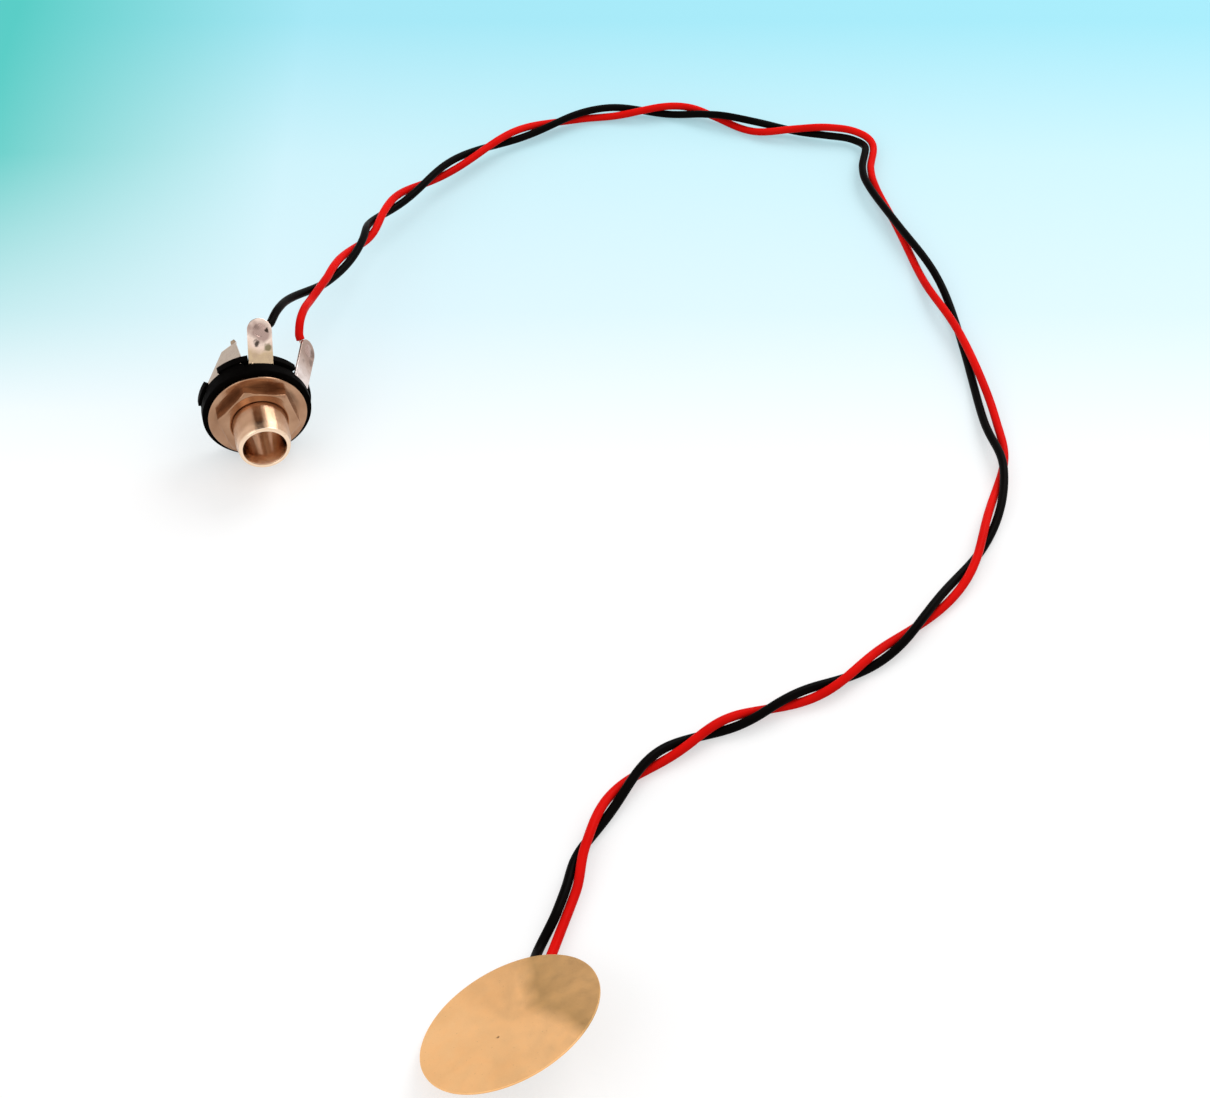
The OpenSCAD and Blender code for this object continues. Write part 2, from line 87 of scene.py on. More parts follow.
# Route of the twisted pair: x, y, z, quarter turns of twist, distance between the leads
PAIR_ROUTE = np.array([
    [7.4, 91.5, 13.6, 1, 1.6], [16.3, 105.3, 10.8, 3, 1.6], [22.3, 116.5, 8.4, 5, 1.6],
    [33, 128, 5.8, 7, 1.7], [48.6, 140.3, 3.4, 9, 1.7], [65, 147, 2.1, 11, 1.6],
    [75.5, 148, 1.8, 12, 1.8], [89.8, 145, 1.8, 14, 1.7], [96, 141.5, 1.8, 15, 1.7],
    [103, 135.5, 1.9, 16, 2], [110.5, 132.3, 1.9, 17, 1.8], [117, 129.5, 2.3, 17.6, 1.8],
    [121.9, 127.1, 2.1, 17.8, 1.7], [123.9, 122.9, 2, 18, 1.6], [120.9, 115.6, 2, 18.1, 1.7],
    [120, 109, 1.9, 18.5, 1.9], [120.5, 96, 1.9, 19, 1.7], [121, 77.5, 2, 20, 2.5],
    [120.5, 60, 1.8, 21, 1.7], [117.5, 38, 1.8, 22, 2.1], [114.5, 24, 1.9, 23, 1.7],
    [102.2, 5.2, 1.8, 25, 1.7], [86.8, -7.3, 1.8, 27, 1.6], [72.3, -14.8, 1.8, 29, 1.6],
    [58.5, -18, 1.8, 31, 1.6], [46.2, -20.8, 1.8, 33, 1.6], [34.5, -26.2, 1.8, 35, 1.6],
    [24.6, -36.7, 1.9, 37, 1.5], [20.5, -44.5, 2, 38, 1.5], [16, -52, 2.2, 38, 1.5]])
TWIST_FROM = np.array([-0.2, -0.7, 0.7])
LEAD_ROOM = 0.04
RED_LEAVES, RED_ARRIVES = np.array([-0.12, 0.64, 0.76]), np.array([0.46, 0.80, -0.38])
BLACK_LEAVES, BLACK_ARRIVES = np.array([0.71, 0.69, -0.14]), np.array([0.40, 0.83, -0.40])
RED_START = [[0.6, 75.6, 18], [1.9, 79.5, 17.4], [3.8, 84.2, 15.7]]
BLACK_START = [[-2.9, 77, 20.2], [0, 82.7, 17.7]]
STRAIGHT_L, ARRIVE_L = 1.0, 3.4
RED_DISC_JOINT = 7.4 * np.array([math.cos(math.radians(-73)), math.sin(math.radians(-73))])
BLACK_DISC_JOINT = 11.6 * np.array([math.cos(math.radians(-61)), math.sin(math.radians(-61))])


def unit(v):
    """v divided by its length, row by row."""
    v = np.asarray(v, float)
    return v / np.linalg.norm(v, axis=-1, keepdims=True)


def turned(points, degrees):
    """Points turned about Z: x cos a - y sin a, x sin a + y cos a, z."""
    c, s = math.cos(math.radians(degrees)), math.sin(math.radians(degrees))
    x, y, z = np.moveaxis(np.asarray(points, float), -1, 0)
    return np.stack([c * x - s * y, s * x + c * y, z], -1)


def on_jack(points):
    """The jack's frame to the row frame: x stays, y goes up, z comes forward along -Y."""
    x, y, z = np.moveaxis(np.asarray(points, float), -1, 0)
    return JACK_AT + np.stack([x, -z, y], -1)


TILT, TURN = math.radians(DISC_TILT), math.radians(DISC_TURN)
DISC_DOWN = np.array([math.cos(TURN) * math.cos(TILT), math.sin(TURN) * math.cos(TILT),
                      -math.sin(TILT)])
DISC_ACROSS = np.array([-math.sin(TURN), math.cos(TURN), 0.0])
DISC_OUT = np.cross(DISC_DOWN, DISC_ACROSS)


def on_disc(points):
    """The disc's frame to the row frame: its centre plus x downhill, y across, z outwards."""
    x, y, z = np.moveaxis(np.asarray(points, float), -1, 0)
    return DISC_AT + x[..., None] * DISC_DOWN + y[..., None] * DISC_ACROSS + z[..., None] * DISC_OUT


# ---- Camera ----

CAMERA_AT = np.array([-23.1, -237.2, 270.1])
CAMERA_TURN, CAMERA_DIP, CAMERA_LENS = 14.2, 45.0, 66.94


def set_camera():
    """The view: camera place in millimetres, its turn from +Y, its dip and its lens."""
    data = bpy.data.cameras.new("view")
    data.lens, data.sensor_width = CAMERA_LENS, 36.0
    camera = bpy.data.objects.new("view", data)
    bpy.context.scene.collection.objects.link(camera)
    camera.location = CAMERA_AT * MM
    camera.rotation_euler = (math.radians(90 - CAMERA_DIP), 0, math.radians(-CAMERA_TURN))
    bpy.context.scene.camera = camera


# ---- Meshes from grids of points ----

def grid_faces(rows, columns, around, along, start=0):
    """Four-cornered faces of a grid; around joins the last column to the first, along
    joins the last row to the first."""
    i = np.arange(rows if along else rows - 1)[:, None]
    j = np.arange(columns if around else columns - 1)[None, :]
    a, b = i * columns + j, i * columns + (j + 1) % columns
    c, d = (i + 1) % rows * columns + (j + 1) % columns, (i + 1) % rows * columns + j
    return np.stack([a, b, c, d], -1).reshape(-1, 4) + start


class Skin:
    """Collects grids of points, in millimetres in the row frame, into one mesh."""

    def __init__(self):
        self.points, self.quads, self.tips, self.count = [], [], [], 0

    def add(self, grid, around=True, along=False, caps=False):
        """A grid of rows by columns by 3. caps closes the first and last rows with a fan
        round their middle."""
        rows, columns, _ = grid.shape
        faces = grid_faces(rows, columns, around, along, self.count)
        self.points.append(grid.reshape(-1, 3))
        self.count += rows * columns
        fans = []
        if caps:
            self.points.append(np.stack([grid[0].mean(0), grid[-1].mean(0)]))
            j = np.arange(columns)
            first, last = self.count - rows * columns + j, self.count - columns + j
            fans = [np.stack([np.roll(first, -1), first, np.full(columns, self.count)], -1),
                    np.stack([last, np.roll(last, -1), np.full(columns, self.count + 1)], -1)]
            self.count += 2
        self.quads.append(faces)
        self.tips += fans
        return self

    def piece(self, name, material, slot, *nodes, body="root"):
        """The finished object: mesh in metres, material, and what it stands for."""
        points = np.concatenate(self.points) * MM
        quads = np.concatenate(self.quads)
        tips = np.concatenate(self.tips) if self.tips else np.zeros((0, 3), int)
        loops = np.concatenate([quads.ravel(), tips.ravel()]).astype(np.int32)
        starts = np.concatenate([np.arange(len(quads)) * 4,
                                 len(quads) * 4 + np.arange(len(tips)) * 3])
        mesh = bpy.data.meshes.new(name)
        mesh.vertices.add(len(points))
        mesh.vertices.foreach_set("co", points.astype(np.float32).ravel())
        mesh.loops.add(len(loops))
        mesh.loops.foreach_set("vertex_index", loops)
        mesh.polygons.add(len(starts))
        mesh.polygons.foreach_set("loop_start", starts.astype(np.int32))
        mesh.update(calc_edges=True)
        mesh.validate()
        mesh.polygons.foreach_set("use_smooth", np.full(len(mesh.polygons), True))
        mesh.materials.append(material)
        thing = bpy.data.objects.new(name, mesh)
        bpy.context.scene.collection.objects.link(thing)
        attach(thing, body)
        if nodes:
            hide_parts(*nodes)
        return thing


def rounded(corners, sizes, steps=4, closed=True):
    """A side view with each corner turned round: a quadratic arc from size before the
    corner to size after it."""
    p = np.asarray(corners, float)
    r = np.asarray(sizes, float)[:, None]
    before, after = unit(np.roll(p, 1, 0) - p), unit(np.roll(p, -1, 0) - p)
    t = np.linspace(0, 1, steps + 1)[None, :, None]
    a, b, c = (p + r * before)[:, None], p[:, None], (p + r * after)[:, None]
    return ((1 - t) ** 2 * a + 2 * t * (1 - t) * b + t ** 2 * c).reshape(-1, 2)


def lined(profile, longest=0.4):
    """The same closed side view with every long stretch divided into steps."""
    ends = np.roll(profile, -1, 0)
    parts = np.maximum(1, np.ceil(np.linalg.norm(ends - profile, axis=1) / longest)).astype(int)
    which = np.repeat(np.arange(len(profile)), parts)
    inside = np.concatenate([np.arange(n) / n for n in parts])[:, None]
    return profile[which] * (1 - inside) + ends[which] * inside


def ring_grid(r, z, a):
    """Points at radius r, height z and angle a: r cos a, r sin a, z."""
    return np.stack([r * np.cos(a), r * np.sin(a), z + 0 * a], -1)


def turned_section(profile, columns=160):
    """A closed side view (radius, height) carried round the axis: a grid of rows along
    the side view by columns round the axis."""
    a = np.linspace(0, 2 * math.pi, columns, endpoint=False)
    return ring_grid(profile[:, :1], profile[:, 1:], a)


def outline_plate(outline, hole, low, high, edge=0.08, rows=6, on_rays=False):
    """A flat plate between an outline and a hole, both with as many points: rows run up
    the hole's wall, out over the top, round the edge, and back under the plate. on_rays
    keeps the row before the edge on the lines from the hole to the outline."""
    way = unit(np.roll(outline, -1, 0) - np.roll(outline, 1, 0))
    out = np.stack([way[:, 1], -way[:, 0]], -1)
    across = np.linspace(0, 1, rows)[1:-1]
    levels = []

    def ring(xy, z):
        levels.append(np.concatenate([xy, np.full((len(xy), 1), z)], 1))
    ring(hole, low)
    ring(hole, low + edge)
    ring(hole, high - edge)
    ring(hole, high)
    inner = outline - 2.5 * edge * out
    if on_rays:
        ray = unit(outline - hole)
        inner = outline - 2.5 * edge * ray / np.maximum((ray * out).sum(1, keepdims=True), 0.2)
    for s in across:
        ring(hole * (1 - s) + inner * s, high)
    ring(inner, high)
    for a in np.radians([90, 60, 30, 0]):
        ring(outline - edge * (1 - math.cos(a)) * out, high - edge * (1 - math.sin(a)))
    for a in np.radians([0, -30, -60, -90]):
        ring(outline - edge * (1 - math.cos(a)) * out, low + edge * (1 + math.sin(a)))
    ring(inner, low)
    for s in across[::-1]:
        ring(hole * (1 - s) + inner * s, low)
    return np.stack(levels)


def circle(r, columns=144):
    """Points of a circle of radius r, anticlockwise."""
    a = np.linspace(0, 2 * math.pi, columns, endpoint=False)
    return np.stack([r * np.cos(a), r * np.sin(a)], -1)


def smooth_curve(p, u):
    """Cubic blend through the points p at the steps u, with its end points doubled."""
    p, u = np.asarray(p, float), np.asarray(u, float)
    n = len(p)
    i = np.minimum(np.floor(u).astype(int), n - 2)
    t = (u - i)[:, None]
    a, b, c, d = p[np.maximum(i - 1, 0)], p[i], p[i + 1], p[np.minimum(i + 2, n - 1)]
    return 0.5 * (2 * b + (c - a) * t + (2 * a - 5 * b + 4 * c - d) * t ** 2
                  + (3 * b - a - 3 * c + d) * t ** 3)


def even_steps(p, step):
    """Points at even distances along a smooth curve through p: straight joins first
    give each point its distance, then a cubic between neighbours."""
    p = np.asarray(p, float)
    s = np.concatenate([[0], np.cumsum(np.linalg.norm(np.diff(p, axis=0), axis=1))])
    slope = np.gradient(p, s, axis=0)
    at = np.linspace(0, s[-1], int(s[-1] / step) + 1)
    i = np.clip(np.searchsorted(s, at, side="right") - 1, 0, len(s) - 2)
    h = (s[i + 1] - s[i])[:, None]
    t = (at - s[i])[:, None] / h
    return ((2 * t ** 3 - 3 * t ** 2 + 1) * p[i] + (t ** 3 - 2 * t ** 2 + t) * h * slope[i]
            + (3 * t ** 2 - 2 * t ** 3) * p[i + 1] + (t ** 3 - t ** 2) * h * slope[i + 1])


def tube_rings(centres, way, radii, columns=20):
    """Circles of the given radii round the centres, each lying across its way."""
    side = unit(np.cross(way, [0.0, 0.0, 1.0]))
    up = np.cross(side, way)
    a = -np.linspace(0, 2 * math.pi, columns, endpoint=False)[None, :, None]
    r = np.broadcast_to(np.asarray(radii, float), (len(centres),))[:, None, None]
    return centres[:, None] + r * (np.cos(a) * side[..., None, :] + np.sin(a) * up[..., None, :])


def tube(path, radii, columns=20):
    """Circles of the given radii carried along a path: each lies across the path, one
    axis level and the other in the upright plane of the path."""
    return tube_rings(path, unit(np.gradient(path, axis=0)), radii, columns)


# ---- Where the leads run ----

def lug_point(lug, s, inward):
    """Point on a lug's middle line, s behind its bend and inward from its face."""
    lean = math.radians(lug["lean"])
    x = LUG_BEND_R - BEND_R + BEND_R * math.cos(lean) + s * math.sin(lean) - inward * math.cos(lean)
    z = lug["z"] - BEND_R + BEND_R * math.sin(lean) - s * math.cos(lean) - inward * math.sin(lean)
    return on_jack(turned([x, 0, z], lug["turn"]))


RED_LUG_JOINT = lug_point(TIP_LUG, TIP_LUG["long"] - LUG_W / 2, STRAND_OFF)
BLACK_LUG_JOINT = lug_point(SLEEVE_LUG, SLEEVE_LUG["long"] - LUG_W / 2, STRAND_OFF)
STACK_T = DISC_T + CERAMIC_T + ELECTRODE_T
RED_DISC_END = on_disc([*RED_DISC_JOINT, -STACK_T - STRAND_OFF])
BLACK_DISC_END = on_disc([*BLACK_DISC_JOINT, -DISC_T - STRAND_OFF])


def pair_line(u, side):
    """One lead of the twisted pair at the steps u: the route's place plus half the
    leads' distance, turned about the route by the twist. side is 1 or -1."""
    last = len(PAIR_ROUTE) - 1
    row = smooth_curve(PAIR_ROUTE, u)
    way = unit(smooth_curve(PAIR_ROUTE, np.minimum(u + 0.05, last))[:, :3]
               - smooth_curve(PAIR_ROUTE, np.maximum(u - 0.05, 0))[:, :3])
    across = unit(np.cross(way, TWIST_FROM))
    up = np.cross(across, way)
    a = np.radians(90 * row[:, 3:4])
    return row[:, :3] + side * (row[:, 4:5] + LEAD_ROOM) / 2 * (np.cos(a) * across + np.sin(a) * up)


def lead_line(joint, leaves, start, side, last, arrives, last_l):
    """Middle line of a lead: out of its joint, along the pair, and in under the disc."""
    out = np.array([joint + BARE_L * unit(leaves), joint + (BARE_L + STRAIGHT_L) * unit(leaves),
                    *start, *pair_line(np.array([0.0, 0.5]), side)])
    end = len(PAIR_ROUTE) - 1
    points = np.concatenate([
        out[:1], smooth_curve(out, np.arange(1, len(out) - 2.1, 0.25)),
        pair_line(np.arange(0, end - 0.4, 0.125), side),
        [last + (last_l + ARRIVE_L) * unit(arrives), last + last_l * unit(arrives)]])
    return even_steps(points, 0.45)


RED_LINE = lead_line(RED_LUG_JOINT, RED_LEAVES, RED_START, 1,
                     RED_DISC_END, RED_ARRIVES, RED_DISC_BARE_L)
BLACK_LINE = lead_line(BLACK_LUG_JOINT, BLACK_LEAVES, BLACK_START, -1,
                       BLACK_DISC_END, BLACK_ARRIVES, DISC_BARE_L)


# ---- Materials ----

class Paint:
    """A node material, built from the shader backwards with short calls."""

    def __init__(self, name, **sockets):
        self.material = bpy.data.materials.new(name)
        self.material.use_nodes = True
        self.nodes, self.links = self.material.node_tree.nodes, self.material.node_tree.links
        self.shader = self.nodes["Principled BSDF"]
        for socket, value in sockets.items():
            self.shader.inputs[socket.replace("_", " ")].default_value = value
        self.place = self.nodes.new("ShaderNodeTexCoord").outputs["Object"]

    def node(self, kind, inputs=None, **settings):
        """A node of that kind, its settings, and its inputs as values or links."""
        n = self.nodes.new("ShaderNode" + kind)
        for key, value in settings.items():
            setattr(n, key, value)
        for key, value in (inputs or {}).items():
            if hasattr(value, "is_linked"):
                self.links.new(value, n.inputs[key])
            else:
                n.inputs[key].default_value = value
        return n

    def centred(self, at, scale=(1, 1, 1)):
        """Object coordinates from a point, in the row frame in metres."""
        moved = self.node("Mapping", {"Vector": self.place, "Location": tuple(-x for x in at)})
        return self.node("Mapping", {"Vector": moved.outputs[0], "Scale": scale}).outputs[0]

    def noise(self, scale, detail, vector=None):
        """Noise from 0 to 1 with so many bumps a metre."""
        inputs = {"Vector": vector or self.place, "Scale": scale, "Detail": detail}
        return self.node("TexNoise", inputs).outputs["Fac"]

    def ramp(self, value, *stops):
        """Colours by value: each stop is (place, (r, g, b))."""
        n = self.node("ValToRGB", {"Fac": value})
        while len(n.color_ramp.elements) < len(stops):
            n.color_ramp.elements.new(0.5)
        for e, (at, colour) in zip(n.color_ramp.elements, stops):
            e.position, e.color = at, (*colour, 1)
        return n.outputs["Color"]

    def spread(self, value, low, high, to_low, to_high):
        """value between low and high, carried to to_low and to_high, and held there."""
        return self.node("MapRange", {"Value": value, "From Min": low, "From Max": high,
                                      "To Min": to_low, "To Max": to_high}).outputs[0]

    def drift(self, scale, detail, low, high, vector=None):
        """Noise whose middle range is carried to low and high."""
        return self.spread(self.noise(scale, detail, vector), 0.3, 0.7, low, high)

    def distance(self, a, b):
        """Distance between two places, in metres."""
        return self.node("VectorMath", {0: a, 1: b}, operation="DISTANCE").outputs["Value"]

    def reach(self, a, way):
        """How far a place lies along a direction."""
        return self.node("VectorMath", {0: a, 1: way}, operation="DOT_PRODUCT").outputs["Value"]

    def wave(self, vector, scale, way):
        """Even waves along one axis."""
        inputs = {"Vector": vector, "Scale": scale}
        return self.node("TexWave", inputs, bands_direction=way).outputs["Fac"]

    def maths(self, operation, a, b=0.0):
        """a and b put together by a sum, product or other operation."""
        return self.node("Math", {0: a, 1: b}, operation=operation).outputs[0]

    def mix(self, share, a, b, blend="MIX"):
        """Colour a with a share of colour b."""
        n = self.node("Mix", data_type="RGBA", blend_type=blend)
        for key, value in ((0, share), (6, a), (7, b)):
            if hasattr(value, "is_linked"):
                self.links.new(value, n.inputs[key])
            else:
                n.inputs[key].default_value = value if key == 0 else (*value, 1)
        return n.outputs[2]

    def bump(self, height, strength, distance, after=None):
        """Height made into a bump of that strength and depth, in metres."""
        inputs = {"Height": height, "Strength": strength, "Distance": distance}
        if after:
            inputs["Normal"] = after
        return self.node("Bump", inputs).outputs[0]

    def set(self, **sockets):
        """Links into the shader."""
        for socket, value in sockets.items():
            self.links.new(value, self.shader.inputs[socket.replace("_", " ")])
        return self.material


def plated_brass(name, dark, plain, light, grooves_and_lip_highlight=0.0, shade_ring_r=None):
    """Warm bright plating on brass: faint stains, and thinner, redder plating in patches.
    A groove depth, when given, adds turning groove lines along the axis and lightens the lip as a
    painted highlight. The ring radius, when given, paints shade: a dark ring inside that radius,
    above the axis, beside the nut."""
    p = Paint(name, Metallic=1.0, Roughness=0.16)
    colour = p.ramp(p.noise(260, 4), (0.30, dark), (0.52, plain), (0.75, light))
    here = p.centred(JACK_AT * MM)
    if shade_ring_r:
        flat = p.node("VectorMath", {0: here, 1: (1, 0, 1)}, operation="MULTIPLY").outputs[0]
        away = p.distance(flat, (0, 0, 0))
        away = p.maths("ADD", away, p.drift(400, 2, -0.0003, 0.0003))
        up = p.node("SeparateXYZ", {0: here}).outputs["Z"]
        # Painted shade: a dark ring on the washer's upper half, round the nut.
        inside = p.spread(away, (shade_ring_r - 0.8) * MM, shade_ring_r * MM, 0.6, 0.0)
        ring = p.maths("MULTIPLY", inside, p.spread(up, -0.001, 0.003, 0.0, 1.0))
        colour = p.mix(ring, colour, (0.06, 0.022, 0.010))
    rough = p.drift(1800, 3, 0.10, 0.20)
    inputs = {"Vector": here, "Scale": 900, "Distortion": 1.2, "Detail": 2.0, "Detail Scale": 2.0}
    rings = p.node("TexWave", inputs, wave_type="RINGS", rings_direction="Y").outputs["Fac"]
    marks = p.bump(rings, 0.04, 0.00003)
    if grooves_and_lip_highlight:
        # Painted highlight: the lip at the mouth is given a lighter colour.
        front = p.node("SeparateXYZ", {0: here}).outputs["Y"]
        lip = p.spread(front, -9.3 * MM, -8.9 * MM, 0.85, 0.0)
        colour = p.mix(lip, colour, (0.93, 0.72, 0.53))
        turning = p.wave(here, 1250, "Y")
        marks = p.bump(turning, grooves_and_lip_highlight, 0.00004, marks)
    return p.set(Base_Color=colour, Roughness=rough, Normal=marks)


def spots(p, here, out, colour, marks):
    """Small round marks on a lug, stains and painted dark reflections: each mark is (millimetres
    down it from the eye, across it, radius, share, colour)."""
    for down, across, r, share, dark in marks:
        at = tuple((out[0] * down + out[1] * across) * MM)
        away = p.distance(here, at)
        away = p.maths("ADD", away, p.drift(1500, 2, -0.0002, 0.0002))
        colour = p.mix(p.spread(away, 0.55 * r * MM, 1.15 * r * MM, share, 0.0), colour, dark)
    return colour


# The first colour is a painted reflection, mauve grey, laid round the lugs' eyes; the second is the
# colour of brown streaks.
MAUVE_REFLECTION, STREAK = (0.44, 0.31, 0.27), (0.36, 0.25, 0.20)
SHEEN_REACH = 0.012


def streaked(p, colour):
    """Faint brown streaks over a colour."""
    return p.mix(p.spread(p.noise(700, 3), 0.45, 0.72, 0.0, 0.35), colour, STREAK)


def tinned_sheet(name, eye, out, marks, *stops):
    """Bright tin on punched sheet, with small dark spots: flux and burn stains, and on the sleeve
    lug a painted dark reflection. Its colour by distance from the eye is painted light: a painted
    reflection, mauve grey or dark, round the eye, a painted highlight band beyond it, and tan
    further off. stops are these colours by distance from the eye, as shares of the reach."""
    p = Paint(name, Metallic=1.0, Roughness=0.2)
    here = p.centred(eye * MM)
    away = p.distance(here, (0, 0, 0))
    away = p.maths("ADD", away, p.drift(420, 2, -0.0005, 0.0005))
    # Painted reflection and painted highlight bands, by distance from the eye.
    colour = p.ramp(p.spread(away, 0.0, SHEEN_REACH, 0.0, 1.0), *stops)
    colour = spots(p, here, out, streaked(p, colour), marks)
    rough = p.spread(p.noise(1400, 4), 0.35, 0.7, 0.14, 0.28)
    wavy = p.bump(p.noise(300, 2), 0.06, 0.0001)
    grain = p.bump(p.noise(5200, 3), 0.04, 0.00003, wavy)
    return p.set(Base_Color=colour, Roughness=rough, Normal=grain)


# Middle of the tarnish on the disc, how far it reaches, and the pit
TARNISH_FROM = on_disc([-16.1, -30.8, 0.0]) - DISC_AT
TARNISH_R = 29.6
PIT_AT = on_disc([PIT_X, PIT_Y, -0.06]) - DISC_AT


def rolled_brass():
    """Dull rolled brass of the disc: orange tan, with a darker, greyer tarnish on one
    side, finger marks, fine rolling lines, specks and a dark pit."""
    p = Paint("rolled_brass", Metallic=1.0, Roughness=0.5)
    here = p.centred(DISC_AT * MM)
    clean = p.ramp(p.noise(110, 4, here), (0.30, (0.84, 0.48, 0.205)), (0.50, (0.92, 0.54, 0.24)),
                   (0.72, (0.96, 0.575, 0.265)))
    dull = p.ramp(p.noise(260, 4, here), (0.30, (0.52, 0.30, 0.112)),
                  (0.55, (0.57, 0.335, 0.130)), (0.75, (0.62, 0.365, 0.145)))
    away = p.distance(here, tuple(TARNISH_FROM * MM))
    wobble = p.drift(120, 1, -0.0012, 0.0012, here)
    away = p.maths("ADD", away, wobble)
    edge = p.spread(away, (TARNISH_R - 0.8) * MM, (TARNISH_R + 1.8) * MM, 1.0, 0.0)
    fade = p.spread(away, (TARNISH_R - 6.0) * MM, TARNISH_R * MM, 0.62, 1.0)
    faded = p.maths("MULTIPLY", edge, fade)
    colour = p.mix(faded, clean, dull)
    speck = p.spread(p.noise(2600, 2, here), 0.70, 0.76, 0.0, 0.35)
    colour = p.mix(speck, colour, (0.36, 0.20, 0.09))
    # Painted shade: a dark spot fills the pit, standing in for the dent's shade.
    pit = p.distance(here, tuple(PIT_AT * MM))
    colour = p.mix(p.spread(pit, 0.00012, 0.0003, 0.85, 0.0), colour, (0.16, 0.08, 0.03))
    rough = p.drift(500, 4, 0.42, 0.58, here)
    grain = p.bump(p.noise(4200, 4, here), 0.12, 0.00004)
    return p.set(Base_Color=colour, Roughness=rough, Normal=grain)


def fired_ceramic():
    """Pale fired ceramic: matt cream with fine grain."""
    p = Paint("fired_ceramic", Roughness=0.6)
    colour = p.ramp(p.noise(900, 5), (0.30, (0.62, 0.57, 0.45)), (0.60, (0.74, 0.69, 0.57)),
                    (0.8, (0.80, 0.76, 0.66)))
    return p.set(Base_Color=colour, Normal=p.bump(p.noise(7000, 3), 0.3, 0.00003))


def printed_silver():
    """Screen-printed silver: soft metal with the print screen's fine weave."""
    p = Paint("printed_silver", Metallic=0.85, Roughness=0.42)
    here = p.centred(DISC_AT * MM)
    weave = p.maths("ADD", p.wave(here, 1400, "X"),
                    p.wave(here, 1400, "Y"))
    colour = p.ramp(p.noise(240, 4, here), (0.3, (0.60, 0.59, 0.56)), (0.7, (0.76, 0.75, 0.72)))
    rough = p.drift(700, 3, 0.34, 0.55, here)
    return p.set(Base_Color=colour, Roughness=rough, Normal=p.bump(weave, 0.2, 0.00002))


def bright_solder(name, eye=None, out=None, marks=()):
    """Solder: bright, slightly grainy, with dull grey patches. On a lug's outer face it is wiped
    thin and takes the sheet's colour: its painted mauve grey reflection, streaks and marks."""
    p = Paint(name, Metallic=1.0, Roughness=0.25)
    colour = p.ramp(p.noise(900, 4), (0.3, (0.46, 0.45, 0.43)), (0.6, (0.72, 0.71, 0.69)))
    if eye is not None:
        here = p.centred(eye * MM)
        outward = tuple(np.cross(out[0], out[1]))
        lift = p.reach(here, outward)
        # Painted reflection: the sheet's mauve grey, with its streaks and marks, on the solder's
        # outer face.
        reflection_and_stains = spots(p, here, out, streaked(p, MAUVE_REFLECTION), marks)
        colour = p.mix(p.spread(lift, -0.0003, -0.0001, 0.0, 1.0), colour, reflection_and_stains)
    rough = p.drift(1500, 4, 0.16, 0.42)
    return p.set(Base_Color=colour, Roughness=rough, Normal=p.bump(p.noise(1500, 3), 0.15, 0.00006))


def tinned_copper():
    """Fine copper wires with a thin coat of tin, copper showing in places."""
    p = Paint("tinned_copper", Metallic=1.0, Roughness=0.3)
    colour = p.ramp(p.noise(1600, 3), (0.35, (0.74, 0.42, 0.27)), (0.5, (0.72, 0.66, 0.60)),
                    (0.75, (0.78, 0.75, 0.71)))
    return p.set(Base_Color=colour, Normal=p.bump(p.noise(6000, 2), 0.2, 0.00002))


def black_fibre_board():
    """Black hard paper of the insulators: satin, with fine fibres."""
    p = Paint("black_fibre_board", Roughness=0.5, Specular_IOR_Level=0.008)
    stretched = p.centred((0, 0, 0), scale=(1, 6, 1))
    colour = p.ramp(p.noise(1300, 5, stretched), (0.35, (0.0012, 0.0009, 0.0008)),
                    (0.75, (0.0030, 0.0024, 0.0021)))
    rough = p.drift(900, 3, 0.36, 0.55)
    fibres = p.bump(p.noise(5200, 4, stretched), 0.2, 0.00003)
    return p.set(Base_Color=colour, Roughness=rough, Normal=fibres)


def soft_insulation(name, dark, plain, light, shine):
    """Smooth soft insulation: slow colour change along the lead, faint rub marks and a
    skin with a slight orange peel."""
    p = Paint(name, Roughness=shine, Specular_IOR_Level=0.015)
    colour = p.ramp(p.noise(90, 3), (0.30, dark), (0.5, plain), (0.72, light))
    rough = p.spread(p.noise(700, 4), 0.3, 0.75, shine - 0.05, shine + 0.12)
    return p.set(Base_Color=colour, Roughness=rough, Normal=p.bump(p.noise(1500, 2), 0.10, 0.00005))


# ---- Leads ----

def insulation(line):
    """The insulation of a lead as one skin: circles of its radius along the line, turned
    in at each cut end to a blind hole that the wires fill."""
    way0, way1 = unit(line[1] - line[0]), unit(line[-1] - line[-2])
    r = LEAD_D / 2
    depth = np.array([0.9, 0.9, 0.10, 0.0, 0.0, 0.03, 0.10, 0.22])
    radius = np.array([0.02, 0.37, 0.39, 0.44, r - 0.12, r - 0.05, r - 0.01, r])
    first = line[0] + depth[:, None] * way0
    last = (line[-1] - depth[:, None] * way1)[::-1]
    middle = line[1:-1]
    return np.concatenate([tube_rings(first, way0, radius), tube(middle, r),
                           tube_rings(last, way1, radius[::-1])])


def wire_bundle(skin, start, end, wires=7):
    """Fine wires from start to end: one down the middle, the others on a circle round it
    that turns as it goes."""
    long = np.linalg.norm(end - start)
    t = np.linspace(0, 1, 28)[:, None]
    axis = start + (end - start) * t
    way = unit(end - start)
    side = unit(np.cross(way, [0.3, 0.2, 1.0]))
    up = np.cross(side, way)
    r = STRAND_D / 6
    for k in range(wires):
        a = 2 * math.pi * (k / (wires - 1) + t * long / 5.0)
        off = 0 if k == wires - 1 else 2 * r * (np.cos(a) * side + np.sin(a) * up)
        skin.add(tube(axis + off, r * 0.98, 10), caps=True)
    return skin


# ---- Solder ----

